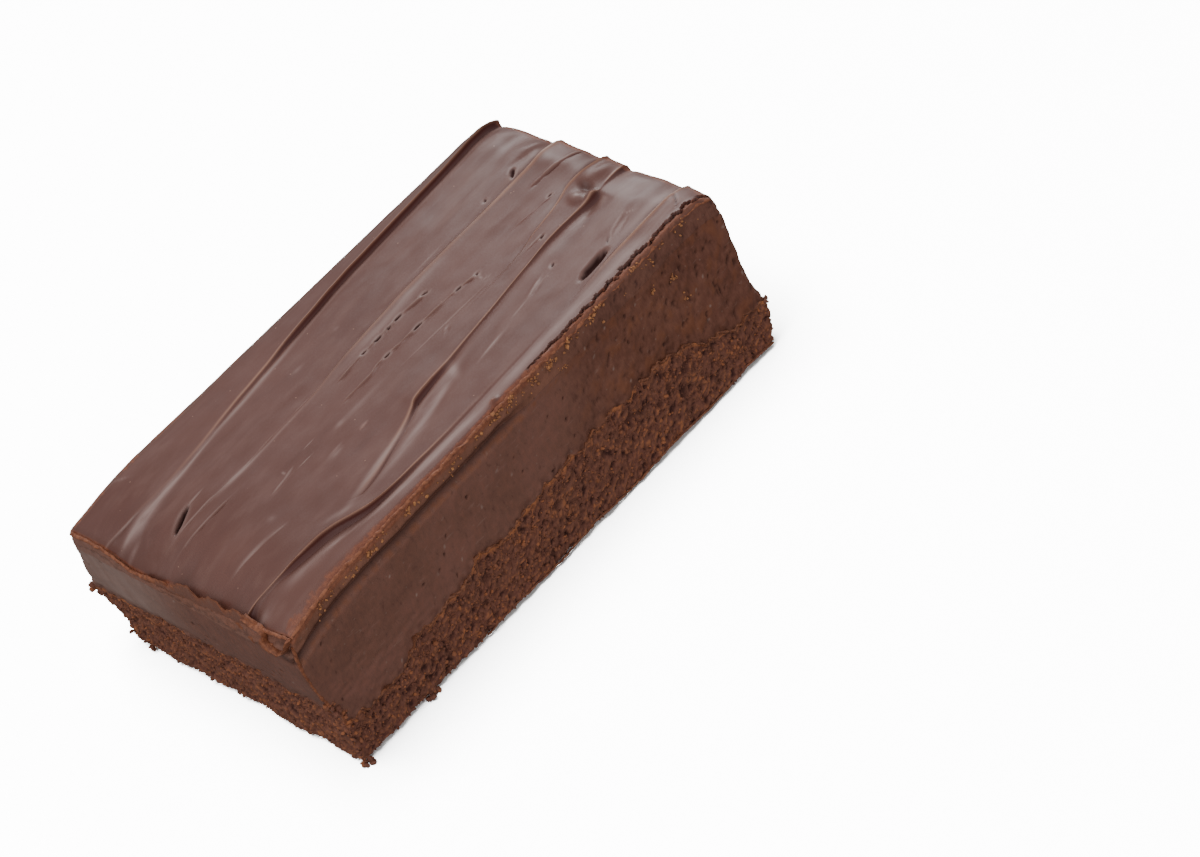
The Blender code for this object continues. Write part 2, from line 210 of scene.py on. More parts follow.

# Painted sheen: paler patches that stand in for the light's reflection off sloping icing: x, y, half
# length, half width, turn, how much. The last one is darker.
SHEEN_PATCHES = [
    (-40.6, 12.9, 3.9, 0.95, 0, 1.3), (-44, 13.2, 1.6, 0.35, 0, 0.7), (-34.5, 13.2, 3.4, 0.55, 5, 1),
    (-28, 14, 4.5, 0.35, 10, 0.9), (-19, 15.2, 6, 0.45, 6, 0.8), (-11.5, 16.3, 4.5, 0.45, 6, 0.7),
    (-45.5, 11.2, 1.5, 0.4, 0, 0.5), (-28.5, 4.5, 3.6, 0.5, -1, 0.9), (-20, 4.6, 6, 0.2, 3, 0.5),
    (3, 5.6, 9, 0.9, 4, 0.6), (12, 6.6, 7, 0.5, 2, 0.4), (-37, 5, 4.5, 0.18, -3, 0.5),
    (-37.5, 2.4, 5, 0.15, -3, 0.5), (-17, -14.6, 7.5, 0.55, 11, 1.1), (-15, -16.5, 6, 0.7, 5, 0.7),
    (-9, -15.1, 5, 0.5, 9, 0.8), (-3, -13.5, 3.2, 0.6, 12, 0.9), (1, -12.2, 1.8, 0.8, 60, 0.8),
    (-31, -19.6, 3, 0.3, -14, 0.8), (-22, -21.2, 5, 0.45, -4, 1), (-12, -21.6, 7, 0.55, -2, 0.9),
    (-27.5, -16.2, 2.5, 0.6, -25, 0.5), (4, -21.9, 22, 1, 0.3, 0.8), (30, -21.6, 12, 1.1, 1.5, 0.6),
    (-10, -3.4, 5, 0.5, 0, 0.4), (-14.5, -3.3, 0.8, 0.4, 0, 0.5), (-32.7, -7, 0.6, 0.6, 0, 0.3),
    (-9, 11.8, 1, 0.35, 0, 0.35), (0, 12.4, 0.5, 0.4, 0, 0.3), (36.9, -5.2, 0.9, 0.6, 80, 0.9),
    (42, -11.5, 5, 3, 5, 0.3), (34, 14, 12, 3, 3, 0.2), (17, 9, 3, 0.15, 3, 0.4),
    (-37, 22, 1.3, 0.22, -50, 0.5), (42, -3.5, 3, 1.2, 0, -0.4),
]

# Rusty torn spots on top: x, y, half length, half width, turn.
RUSTY = [
    (38.7, -7, 0.6, 0.3, 0), (46.8, 4.5, 0.7, 1.6, 0), (46.8, 0.1, 0.5, 1, 0), (46.7, -5, 0.8, 1.8, 0),
    (46.8, 10.6, 0.6, 0.8, 0), (44, -19.3, 0.12, 0.6, 0), (43, -21.2, 1.4, 0.1, -50),
    (-19, -6.5, 1.2, 0.12, 3), (-13.2, -7, 0.8, 0.14, 0), (-1.5, -23, 0.9, 0.6, 30),
]

# The groove under the icing, open along the near half of the front: how deep it is, the x
# where it ends and the length over which it fades, and how far into the bar it is felt.
GROOVE_DEPTH = 1
GROOVE_END = 5
GROOVE_FADE = 8
GROOVE_REACH = 6

# A ragged crack opens along the far part of the front edge: the x where it starts, how far
# behind the edge it runs, its half width and depth, how far the strip before it has sunk, and
# the length over which that begins.
CRACK_START = 5
CRACK_INSET = 0.6
CRACK_HALF_WIDTH = 0.06
CRACK_DEPTH = 1
CRACK_STEP = 0.35
CRACK_FADE = 8

# Where the crumb base meets the fudge along the front, as x and height: the knife dragged
# fudge down over both corners. The course fades out over this depth into the bar.
SEAM_COURSE = [
    (-48, 9.5), (-37, 9), (-31, 11.6), (-20, 12.6), (-16, 14.6), (-11, 12.8), (0, 14.2), (10, 14.6),
    (25, 15), (31, 13.2), (38, 9.5), (48, 8),
]
SEAM_COURSE_DEPTH = 4

# The base's bottom edge is rounded: up to what height, and how far in.
BOTTOM_EDGE = (1.5, 1)

# The near end's top edge was dragged down: y and height of the edge, the length over which the
# icing falls to it, and the width of its rusty rim. A torn flap of icing stands on the edge
# between the two places, where the icing behind it falls less by this share.
NEAR_EDGE = [
    (-24, 29.7), (-19, 28.9), (-14, 27.3), (-9, 26.9), (-1, 26.8), (6, 27), (10, 27.2), (12.7, 28),
    (15.5, 29.2), (24, 29.7),
]
NEAR_EDGE_LENGTH = 7
NEAR_RIM = 0.2
FLAP_ENDS = (-17, 2.2)
FLAP_HOLD = 0.55
FLAP_TOP = [
    (-24, 29.8), (-19.4, 29.5), (-18.4, 30.6), (-16.4, 30.3), (-16.2, 31.5), (-15, 31.6), (-13.4, 30.4),
    (-12.2, 29.8), (-11.4, 29.9), (-11.1, 31.4), (-9.9, 31.6), (-7.6, 30.2), (-5.8, 29.5), (-5.4, 29.9),
    (-5.2, 31.6), (-3.1, 31.2), (-0.5, 29.6), (1.5, 28.3), (1.9, 29.2), (5, 28.2), (6.9, 27.9),
    (7.3, 27.3), (10, 27.3), (15.3, 29.2), (24, 29.7),
]

# The icing's foot sags at the near end by this much, over this length.
NEAR_FOOT_SAG = (0.8, 10)

# The near end's front corner: a scoop torn out of the icing, as its middle and half sizes
# across and up, and the curl and the flap of torn icing beside it, as places along them.
SCOOP = (-22.5, 28.4, 2.5, 1.9)
SCOOP_DEPTH = 1
CURL = [
    (-47.1, -16, 30), (-47.2, -17.4, 29.6), (-47.3, -19.2, 29.7), (-47.4, -20, 28.9),
    (-47.7, -19.8, 27.3), (-47.8, -20.8, 26.4), (-47.8, -22.1, 26.1), (-47.7, -23.6, 27),
    (-47.5, -24.7, 28.4), (-47.2, -25.4, 29.8),
]
FLAP = [
    (-47.4, -13.8, 28), (-47.5, -14.6, 26.6), (-47.7, -16.5, 25.8), (-47.8, -18.8, 25.8),
    (-47.8, -20.6, 25.6),
]


# ---- Shape functions on arrays ----

def follow(points, places, column=1):
    """The height of a smooth curve through points, read in one column at each place."""
    at, level = np.array([(point[0], point[column]) for point in points], float).T
    last = len(at) - 1
    back = np.maximum(np.arange(last + 1) - 1, 0)
    ahead = np.minimum(np.arange(last + 1) + 1, last)
    slope = (level[ahead] - level[back]) / (at[ahead] - at[back])
    places = np.clip(places, at[0], at[-1])
    first = np.clip(np.searchsorted(at, places) - 1, 0, last - 1)
    run = at[first + 1] - at[first]
    u = (places - at[first]) / run
    rise = ease(0, 1, u)
    bend = slope[first] * u * (1 - u) ** 2 - slope[first + 1] * u * u * (1 - u)
    return level[first] * (1 - rise) + level[first + 1] * rise + bend * run


def ease(low, high, value):
    """0 below low, 1 above high, and an ease in between; low may be above high."""
    u = np.clip((value - low) / (high - low), 0, 1)
    return u * u * (3 - 2 * u)


def bell(value, half_width):
    """1 where the value is 0, falling off on both sides."""
    return np.exp(-((value / half_width) ** 2))


def fall(distance, length, power=2):
    """1 at no distance, in a curve down to 0 at the length."""
    return np.clip(1 - distance / length, 0, None) ** power


def zeros(count, like):
    """Several arrays of zeros, one number for each place."""
    return (np.zeros(len(like)) for _ in range(count))


def hashed(cell, seed):
    """A random number from 0 to 1 for each whole-numbered cell."""
    x, y, z = (cell[..., axis].astype(np.int64) for axis in range(3))
    mix = (x * 374761393 + y * 668265263 + z * 2147483647 + seed * 1274126177) & 0xFFFFFFFF
    mix = ((mix ^ (mix >> 13)) * 1274126177) & 0xFFFFFFFF
    mix = ((mix ^ (mix >> 16)) * 2246822519) & 0xFFFFFFFF
    return ((mix ^ (mix >> 15)) & 0xFFFFFF) / float(0xFFFFFF)


def noise(points, length, seed):
    """Smooth noise from about -1 to 1, with bumps of the given length."""
    places = points / np.asarray(length, float)
    cell = np.floor(places)
    inside = places - cell
    blend = inside ** 3 * (inside * (inside * 6 - 15) + 10)
    total = np.zeros(len(points))
    for corner in np.ndindex(2, 2, 2):
        corner = np.array(corner)
        share = np.prod(np.where(corner == 1, blend, 1 - blend), axis=1)
        turn = hashed(cell + corner, seed) * 2 * math.pi
        height = hashed(cell + corner, seed + 17) * 2 - 1
        flat = np.sqrt(1 - height ** 2)
        offset = inside - corner
        lean = flat * (offset[:, 0] * np.cos(turn) + offset[:, 1] * np.sin(turn)) + offset[:, 2] * height
        total += share * lean
    return total * 1.7


def layers(points, *parts):
    """Noises added up: the strength, length and seed of each."""
    return sum(strength * noise(points, length, seed) for strength, length, seed in parts)


def flat_places(x, y=0):
    """Places at z = 0, for noise that stays the same from top to bottom."""
    return np.stack([x, y + np.zeros(len(x)), np.zeros(len(x))], axis=1)


def grains(points, length, seed):
    """Cells of the given size: how far each point is from the nearest cell's middle, and a
    random number for that cell."""
    places = points / length
    cell = np.floor(places)
    nearest = np.full(len(points), 9.0)
    name = np.zeros(len(points))
    for corner in np.ndindex(3, 3, 3):
        other = cell + np.array(corner) - 1
        middle = other + np.stack([hashed(other, seed + axis) for axis in range(3)], axis=1)
        away = np.linalg.norm(places - middle, axis=1)
        name = np.where(away < nearest, hashed(other, seed + 7), name)
        nearest = np.minimum(away, nearest)
    return nearest, name


def rounded_corner(x, y):
    """Points of the plain box, with the box's upright corners rounded."""
    inner = [
        np.clip(np.abs(place) - half + CORNER_RADIUS, 0, None) / CORNER_RADIUS
        for place, half in ((x, HALF_X), (y, HALF_Y))
    ]
    pull_x, pull_y = (
        CORNER_RADIUS * along * (1 - np.sqrt(1 - across ** 2 / 2))
        for along, across in (inner, inner[::-1])
    )
    return x - np.sign(x) * pull_x, y - np.sign(y) * pull_y


def on_cut_faces(x, y, z, inset=0):
    """Places of the plain box, moved to the bar's leaning cuts, less an inset."""
    x, y, z = np.broadcast_arrays(x, y, z)
    x, y = rounded_corner(x, y)
    across_x, across_y = x / HALF_X, y / HALF_Y
    out_x, out_y = zeros(2, x)
    for (side_x, side_y), post in CORNERS.items():
        share = (1 + side_x * across_x) * (1 + side_y * across_y) / 4
        out_x += share * side_x * follow(post, z, 1)
        out_y += share * side_y * follow(post, z, 2)
    out_x -= inset * across_x ** 7
    out_y -= inset * across_y ** 7
    return np.stack([x + out_x, y + out_y, z], axis=1)


def end_droop(x):
    """How far the icing hangs down near either end of the bar."""
    near, far = NEAR_END_DROOP, FAR_END_DROOP
    return near[0] * fall(x + HALF_X, *near[1:]) + far[0] * fall(HALF_X - x, *far[1:])


def icing_foot(x):
    """The height at which the icing meets the fudge."""
    sag, length = NEAR_FOOT_SAG
    return ICING_FOOT - end_droop(x) - sag * fall(x + HALF_X, length)


def on_near_end(x):
    """1 on the near end's cut, 0 elsewhere."""
    return ease(-HALF_X + 0.1, -HALF_X, x)


def groove_share(x, lane):
    """How open the groove under the icing is: 1 along the front's near half, 0 elsewhere."""
    along = ease(GROOVE_END, GROOVE_END - GROOVE_FADE, x)
    return along * ease(GROOVE_REACH - HALF_Y, -HALF_Y, lane)


def past_crack_start(x, fade=CRACK_FADE):
    """1 along the front's far part, where the crack is, 0 before it."""
    return ease(CRACK_START, CRACK_START + fade, x)


def lane_shift(x, lane):
    """How far a place across the plain box moves so that each lane lies on its route."""
    knots = sorted(ALL_LANES)
    places = [-HALF_Y, *knots, HALF_Y]
    edge, total = zeros(2, x)
    shifts = [edge, *(follow(ALL_LANES[knot], x) - knot for knot in knots), edge]
    for i in range(len(places) - 1):
        share = (lane - places[i]) / (places[i + 1] - places[i])
        here = (share >= 0) & (share <= 1)
        total = np.where(here, shifts[i] * (1 - share) + shifts[i + 1] * share, total)
    return total


def on_side(x, y):
    """The way out of the bar at points of the plain box, 0 inside it."""
    way_x = np.where(np.abs(x) > HALF_X - ON_SIDE, np.sign(x), 0)
    way_y = np.where(np.abs(y) > HALF_Y - ON_SIDE, np.sign(y), 0)
    return np.stack([way_x, way_y], axis=1) / np.maximum(np.hypot(way_x, way_y), 1)[:, None]


def pushed_out(places, x, y, push):
    """Moves points of the cuts in or out of the bar."""
    moved = places.copy()
    moved[:, :2] += on_side(x, y) * push[:, None]
    return moved


def seam_height(x, y):
    """Where the crumb base meets the fudge: a ragged line that dips at the front's corners."""
    flat = flat_places(x, y)
    inside = BASE_TOP + layers(flat, (0.8, 14, 3))
    share = np.exp(-(y + HALF_Y) / SEAM_COURSE_DEPTH)
    level = inside * (1 - share) + follow(SEAM_COURSE, x) * share
    return level + layers(flat, (0.9, 3.6, 4), (0.7, 1.6, 5), (0.3, 0.7, 6))


def side_wave(places):
    """How the cut sides wander in and out, the same through every layer."""
    return 0.15 * noise(places, 6, 31)


def cut_relief(places, x, y, z):
    """What the knife left on icing and fudge alike: the relief, how rough each place is and how
    torn. The cut is clean at the near end and torn towards the front's far end."""
    torn = ease(2, 22, x) * ease(8, -16, y)
    dragged = places @ np.array([[0.9, 0, 0.5], [0, 1, 0], [-0.5, 0, 0.45]])
    rough = layers(dragged, (1, 1.1, 40), (0.6, 0.5, 48))
    crinkle = bell(x + 37, 9) * bell(z - 14, 7) * ease(0, -HALF_Y, y)
    crinkle *= 1 - 2.5 * np.abs(noise(places, (3.2, 1, 0.9), 49))
    push = layers(places, (0.07, 1.8, 32), (0.03, 0.7, 33))
    return push + 0.14 * torn * rough + 0.16 * crinkle, rough, torn


# ---- Meshes ----

def stations(low, high, spacing, edges=()):
    """Places from low to high: even ones, with closer ones next to both ends."""
    count = round((high - low) / spacing)
    even = [low + (high - low) * i / count for i in range(count + 1)]
    return sorted(set(even + [low + edge for edge in edges] + [high - edge for edge in edges]))


def coarse_steps(count, step):
    """Every step-th index of count, with the last."""
    return [*range(0, count - 1, step), count - 1]


def quads_of(number, flip):
    """The quads between the numbers of a grid."""
    ring = number[:-1, :-1], number[1:, :-1], number[1:, 1:], number[:-1, 1:]
    return np.stack(ring[::-1] if flip else ring, axis=-1).reshape(-1, 4).tolist()


def coarse_cap(number, step, flip):
    """A hidden top or bottom: large faces inside, which take every station round the edge."""
    nx, ny = number.shape
    columns, rows = coarse_steps(nx, step), coarse_steps(ny, step)
    faces = []
    for i0, i1 in zip(columns, columns[1:]):
        for j0, j1 in zip(rows, rows[1:]):
            front = range(i0, i1) if j0 == 0 else [i0]
            right = range(j0, j1) if i1 == nx - 1 else [j0]
            back = range(i1, i0, -1) if j1 == ny - 1 else [i1]
            left = range(j1, j0, -1) if i0 == 0 else [j1]
            ring = [number[i, j0] for i in front] + [number[i1, j] for j in right]
            ring += [number[i, j1] for i in back] + [number[i0, j] for j in left]
            faces.append([int(v) for v in (ring[::-1] if flip else ring)])
    return faces


def shell(xs, ys, zs, top_step, bottom_step):
    """The outside of a grid of stations, as a closed mesh: its corners and faces."""
    nx, ny, nz = len(xs), len(ys), len(zs)
    wanted = np.zeros((nx, ny, nz), bool)
    wanted[[0, -1], :, :] = True
    wanted[:, [0, -1], :] = True
    caps = ((0, bottom_step, True), (nz - 1, top_step, False))
    for level, step, _ in caps:
        wanted[np.ix_(coarse_steps(nx, step), coarse_steps(ny, step), [level])] = True
    number = np.cumsum(wanted).reshape(wanted.shape) - 1
    i, j, k = np.nonzero(wanted)
    corners = np.stack([np.array(xs)[i], np.array(ys)[j], np.array(zs)[k]], axis=1)
    faces = quads_of(number[:, 0, :], False) + quads_of(number[:, -1, :], True)
    faces += quads_of(number[0, :, :], True) + quads_of(number[-1, :, :], False)
    for level, step, flip in caps:
        cap = number[:, :, level]
        faces += quads_of(cap, flip) if step == 1 else coarse_cap(cap, step, flip)
    return corners, faces


def slab(spacing, levels, top_step, bottom_step):
    """The outside of the plain box on an even grid: x, y and share of the height at each
    corner, and the faces."""
    columns = stations(-HALF_X, HALF_X, spacing)
    rows = stations(-HALF_Y, HALF_Y, spacing)
    corners, faces = shell(columns, rows, stations(0, 1, 1 / levels), top_step, bottom_step)
    return *corners.T, faces


def new_piece(name, places, faces, slot, material, replaces=(), marks=None):
    """A mesh piece in metres that rides on the bar, with named values at its points."""
    mesh = bpy.data.meshes.new(name)
    mesh.from_pydata(((places + BOX_MIDDLE) * MM).tolist(), [], faces)
    mesh.update()
    mesh.shade_smooth()
    mesh.set_sharp_from_angle(angle=SHARP_ANGLE)
    for mark, values in (marks or {}).items():
        layer = mesh.attributes.new(mark, "FLOAT", "POINT")
        layer.data.foreach_set("value", np.asarray(values, np.float32))
    mesh.materials.append(material)
    piece = bpy.data.objects.new(name, mesh)
    bpy.context.scene.collection.objects.link(piece)
    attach(piece, "root")
    if replaces:
        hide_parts(*replaces)


def ball(subdivisions):
    """A round ball's corners and faces, with radius 1."""
    bm = bmesh.new()
    bmesh.ops.create_icosphere(bm, subdivisions=subdivisions, radius=1)
    corners = np.array([vert.co[:] for vert in bm.verts])
    faces = np.array([[vert.index for vert in face.verts] for face in bm.faces])
    bm.free()
    return corners, faces


def lumps(places, sizes, stretch, seed, subdivisions):
    """Many irregular lumps in one mesh: each is a ball that is stretched, turned and dented."""
    corners, faces = ball(subdivisions)
    rng = np.random.default_rng(seed)
    count = len(places)
    turns = np.linalg.qr(rng.normal(size=(count, 3, 3)))[0]
    scales = sizes[:, None] * (1 + stretch * (rng.random((count, 3)) - 0.5) * 2)
    dents = 1 + CRUMB_DENTS * rng.normal(size=(count, len(corners), 1))
    shape = corners[None] * scales[:, None, :] * dents
    shape = np.einsum("nij,nkj->nki", turns, shape)
    flip = np.linalg.det(turns) < 0
    all_faces = faces[None] + (np.arange(count) * len(corners))[:, None, None]
    all_faces[flip] = all_faces[flip][:, :, ::-1]
    points = (shape + places[:, None, :]).reshape(-1, 3)
    return points, all_faces.reshape(-1, 3).tolist(), np.repeat(np.arange(count), len(corners))


def new_crumbs(name, slot, material, places, sizes, pale, stretch, seed, subdivisions=1):
    """A piece of many crumbs that stay above the floor, each with a paleness of its own."""
    points, faces, owner = lumps(places, sizes, stretch, seed, subdivisions)
    points[:, 2] = np.maximum(points[:, 2], 0)
    marks = {"pore": np.zeros(len(points)), "pale": pale[owner]}
    new_piece(name, points, faces, slot, material, (), marks)


def unit(way):
    """A direction, or one for each place, made 1 long."""
    way = np.atleast_2d(np.array(way, float))
    return way / np.linalg.norm(way, axis=1)[:, None]


def ridge(route, up, out, heights, thick, seed, around=8, rough=0.3):
    """A ragged ridge along a route of places, as a closed tube: up is where it stands to, out
    is across it, and heights are how far it stands up at each place."""
    count = len(route)
    up, out = unit(up), unit(out)
    turn = np.arange(around) * 2 * math.pi / around
    rise = 0.5 * heights[:, None] * (1 + np.sin(turn)) - 0.25
    side = 0.5 * thick * np.cos(turn) * (1 - 0.4 * np.sin(turn))
    points = route[:, None, :] + up[:, None, :] * rise[:, :, None] + out[:, None, :] * side[..., None]
    points = points.reshape(-1, 3)
    points += rough * thick * np.stack([noise(points, 0.9, seed + axis) for axis in range(3)], axis=1)
    number = np.arange(count * around).reshape(count, around)
    closed = np.concatenate([number, number[:, :1]], axis=1)
    faces = quads_of(closed, True)
    faces.append(number[0].tolist())
    faces.append(number[-1][::-1].tolist())
    return points, faces


# ---- Materials ----

# Where a mix node takes its two colours, and where it gives the mixed one.
MIX_COLOUR_SOCKETS = (6, 7, 2)


class Nodes:
    """Makes the nodes of a material or a world with few words.

    Scales are per millimetre. A ramp runs from start to end as its value goes from low to high,
    tint mixes a shade in with such a ramp, and marked mixes one in by a value of the mesh.
    """

    def __init__(self, owner):
        owner.use_nodes = True
        self.owner = owner
        self.tree = owner.node_tree
        self.places = self.tree.nodes.new("ShaderNodeTexCoord").outputs

    def join(self, source, target):
        if hasattr(source, "is_output"):
            self.tree.links.new(source, target)
        else:
            target.default_value = (*source, 1) if target.type == "RGBA" else source

    def node(self, kind, inputs, output=0, **settings):
        node = self.tree.nodes.new("ShaderNode" + kind)
        for key, value in settings.items():
            setattr(node, key, value)
        for key, value in inputs.items():
            self.join(value, node.inputs[key])
        return node.outputs[output]

    def scaled(self, scale, stretch, turn=0):
        sizes = [scale / MM * part for part in stretch]
        rotation = (0, math.radians(turn), 0)
        place = self.places["Object"]
        return self.node("Mapping", {"Vector": place, "Scale": sizes, "Rotation": rotation})

    def noise(self, scale, detail=3, rough=0.5, stretch=(1, 1, 1), turn=0):
        place = self.scaled(scale, stretch, turn)
        inputs = {"Vector": place, "Scale": 1, "Detail": detail, "Roughness": rough}
        return self.node("TexNoise", inputs, "Fac")

    def cells(self, scale):
        place = self.scaled(scale, (1, 1, 1))
        return self.node("TexVoronoi", {"Vector": place, "Scale": 1}, "Distance")

    def mark(self, name):
        return self.node("Attribute", {}, "Fac", attribute_name=name)

    def ramp(self, value, low, high, start=0, end=1, easing="SMOOTHSTEP"):
        inputs = {"Value": value, "From Min": low, "From Max": high, "To Min": start, "To Max": end}
        return self.node("MapRange", inputs, interpolation_type=easing)

    def math(self, operation, a, b):
        return self.node("Math", {0: a, 1: b}, operation=operation)

    def mix(self, share, a, b):
        first, second, mixed = MIX_COLOUR_SOCKETS
        return self.node("Mix", {0: share, first: a, second: b}, mixed, data_type="RGBA")

    def tint(self, colour, value, low, high, most, shade):
        return self.mix(self.ramp(value, low, high, 0, most), colour, shade)

    def marked(self, colour, name, shade):
        return self.mix(self.mark(name), colour, shade)

    def bump(self, height, distance, strength, over=None):
        inputs = {"Distance": distance * MM, "Strength": strength, "Height": height}
        if over is not None:
            inputs["Normal"] = over
        return self.node("Bump", inputs)

    def finish(self, colour, roughness, normal, specular):
        shader = self.tree.nodes["Principled BSDF"]
        inputs = {"Base Color": colour, "Roughness": roughness, "Specular IOR Level": specular}
        if normal is not None:
            inputs["Normal"] = normal
        for key, value in inputs.items():
            self.join(value, shader.inputs[key])
        return self.owner


def material_nodes(name):
    """A new material's nodes."""
    return Nodes(bpy.data.materials.new(name))


def cut_colour(n, dark, light):
    """The brown of a cut through dense chocolate: blotches, fine dark pores, pale specks."""
    blotch = n.noise(0.12, 4, 0.6)
    fine = n.noise(1.3, 4, 0.65, (1, 1, 0.45), 35)
    dark = n.marked(dark, "torn", (0.105, 0.040, 0.026))
    light = n.marked(light, "torn", (0.145, 0.058, 0.038))
    colour = n.mix(n.ramp(blotch, 0.3, 0.7), dark, light)
    colour = n.tint(colour, fine, 0.35, 0.75, 0.5, (0.200, 0.082, 0.056))
    colour = n.tint(colour, fine, 0.42, 0.25, 0.5, (0.065, 0.022, 0.015))
    colour = n.tint(colour, n.cells(0.55), 0.10, 0.05, 0.6, (0.20, 0.12, 0.095))
    return colour, fine


def icing_material():
    """Satin icing: painted sheen and pale specks, painted shade in folds and recesses, a painted
    highlight on crests, and brown sides.
    """
    n = material_nodes("icing")
    blotch = n.noise(0.07, 3, 0.5, (0.5, 1, 1))
    cloud = n.noise(0.35, 3, 0.55, (0.35, 1, 1))
    streak = n.noise(0.8, 4, 0.6, (0.12, 1, 1))
    colour = n.mix(n.ramp(blotch, 0.3, 0.7), (0.094, 0.033, 0.024), (0.114, 0.043, 0.032))
    colour = n.tint(colour, cloud, 0.45, 0.75, 0.5, (0.145, 0.068, 0.054))
    colour = n.tint(colour, cloud, 0.45, 0.25, 0.4, (0.080, 0.027, 0.020))
    colour = n.tint(colour, n.cells(0.3), 0.045, 0.03, 0.6, (0.27, 0.15, 0.11))
    pale = n.math("MULTIPLY", n.mark("pale"), n.ramp(streak, 0.3, 0.6, 0.55, 1))
    side, fine = cut_colour(n, (0.155, 0.062, 0.038), (0.210, 0.087, 0.055))
    rim = n.mix(n.ramp(fine, 0.35, 0.65), (0.150, 0.040, 0.018), (0.235, 0.072, 0.032))
    # Painted highlight along the fold crests, and painted shade on the folds' steep faces.
    colour = n.marked(colour, "crest", (0.27, 0.133, 0.088))
    colour = n.marked(colour, "groove", (0.066, 0.016, 0.013))
    colour = n.marked(colour, "side", side)
    colour = n.marked(colour, "rim", rim)
    # Painted sheen where the pale mark is.
    colour = n.mix(pale, colour, (0.270, 0.180, 0.162))
    # Painted shade in pits, the crack, torn pores and the open groove.
    colour = n.marked(colour, "recess_shade", (0.030, 0.007, 0.006))
    roughness = n.ramp(cloud, 0.2, 0.8, 0.38, 0.46)
    rougher = n.math("MAXIMUM", n.math("MULTIPLY", n.mark("side"), 0.6), n.mark("recess_shade"))
    roughness = n.math("MAXIMUM", roughness, rougher)
    normal = n.bump(n.noise(0.9, 3, 0.5, (0.3, 1, 1)), 0.05, 0.5)
    normal = n.bump(n.math("MULTIPLY", fine, n.mark("side")), 0.25, 0.8, normal)
    return n.finish(colour, roughness, normal, 0.33)


def fudge_material():
    """Dense fudge: a satin cut face with fine drag marks, painted shade in the pores, pale specks and a
    painted sheen on the near end.
    """
    n = material_nodes("fudge_layer")
    colour, fine = cut_colour(n, (0.130, 0.059, 0.043), (0.166, 0.076, 0.057))
    scratch = n.noise(1.5, 3, 0.6, (0.25, 1, 1.3), 10)
    colour = n.tint(colour, scratch, 0.62, 0.74, 0.5, (0.210, 0.115, 0.092))
    colour = n.marked(colour, "orange", (0.185, 0.064, 0.030))
    # The pale mark is sugar specks and a painted sheen on the near end.
    colour = n.marked(colour, "pale", (0.245, 0.160, 0.135))
    # The pore mark is painted shade: in pores, in the open groove and along the seam.
    colour = n.marked(colour, "pore", (0.035, 0.011, 0.008))
    return n.finish(colour, 0.55, n.bump(fine, 0.16, 0.7), 0.18)


def crumb_material(name, pale=(0.34, 0.120, 0.050)):
    """Baked crumb: painted shade in the pores between grains, and a paler orange-brown on some grains
    and, as painted highlight, on raised ridges.
    """
    n = material_nodes(name)
    fine = n.noise(1.9, 4, 0.7, (1, 1, 0.6), 30)
    broad = n.noise(0.35, 3, 0.6)
    colour = n.mix(n.ramp(fine, 0.3, 0.68), (0.105, 0.037, 0.025), (0.190, 0.074, 0.048))
    colour = n.tint(colour, broad, 0.4, 0.7, 0.5, (0.135, 0.056, 0.036))
    # pale: a paler tone on some grains and a painted highlight on the slab's raised ridges; pore:
    # painted shade in the pores.
    colour = n.marked(colour, "pale", pale)
    colour = n.marked(colour, "pore", (0.045, 0.013, 0.010))
    return n.finish(colour, 0.8, n.bump(fine, 0.22, 0.8), 0.25)


def torn_material(name, colour_a, colour_b):
    """Torn edges: rough and more orange than the cut beside them, but for a flap's face."""
    n = material_nodes(name)
    fine = n.noise(1.6, 3, 0.6)
    colour = n.mix(n.ramp(fine, 0.35, 0.7), colour_a, colour_b)
    colour = n.marked(colour, "face", (0.160, 0.068, 0.047))
    return n.finish(colour, 0.6, n.bump(fine, 0.15, 0.6), 0.3)


# ---- The icing ----

def fold_relief(x, lane):
    """The folds' height, how much each place takes painted highlight on the crest, painted shade on the
    steep face and painted sheen in the trough, and its lean.
    """
    relief, crest, groove, pale, pull = zeros(5, x)
    for place, route in FOLDS.items():
        height = follow(route, x, 2)
        way = np.where(height < 0, -1, 1)
        beside = (lane - place) * way
        size = np.abs(height)
        half_step = FOLD_HALF_STEP[0] + FOLD_HALF_STEP[1] * np.minimum(size, 1.2)
        behind = 0.5 * np.exp(-np.clip(beside - half_step, 0, None) / FOLD_CREST_LENGTH)
        before = -0.5 * np.exp(np.clip(beside + half_step, None, 0) / FOLD_TROUGH_LENGTH)
        across = np.clip(beside / (2 * half_step) + 0.5, 0, 1)
        relief += size * (before * (1 - across) + behind * across)
        relief += 0.12 * size * bell(beside - 0.32, 0.2)
        # Painted light: crest is the crest's highlight, groove the steep face's shade, pale the trough's
        # sheen.
        crest += ease(0.05, 0.35, size) * bell(beside - 0.38, 0.21)
        face = ease(half_step, 0, beside) * ease(-1.5, -1, beside / half_step)
        groove += ease(0.1, 0.8, size) * face
        pale += ease(0.1, 0.8, size) * bell(beside + 1, 0.5) * 0.5
        pull -= way * FOLD_OVERHANG * size * bell(beside - 0.25, 0.3)
    return relief, crest, groove, pale, pull


def scratch_relief(x, lane):
    """The fine scratches' height, and how much of each place is a pale line of painted highlight or a
    dark line of painted shade.
    """
    relief, crest, groove = zeros(3, x)
    breaks = noise(flat_places(x, lane), (2.6, 40, 9), 61)
    broken = 0.35 + 0.65 * ease(-0.25, 0.25, breaks)
    for place, start, end, height in SCRATCHES:
        along = ease(start, start + 2, x) * ease(end, end - 2, x) * broken
        beside = lane - place
        relief += height * along * (bell(beside - 0.15, 0.15) - bell(beside + 0.2, 0.18))
        crest += 5 * height * along * bell(beside - 0.15, 0.15)
        groove += 3 * height * along * bell(beside + 0.2, 0.15)
    return relief, crest, groove


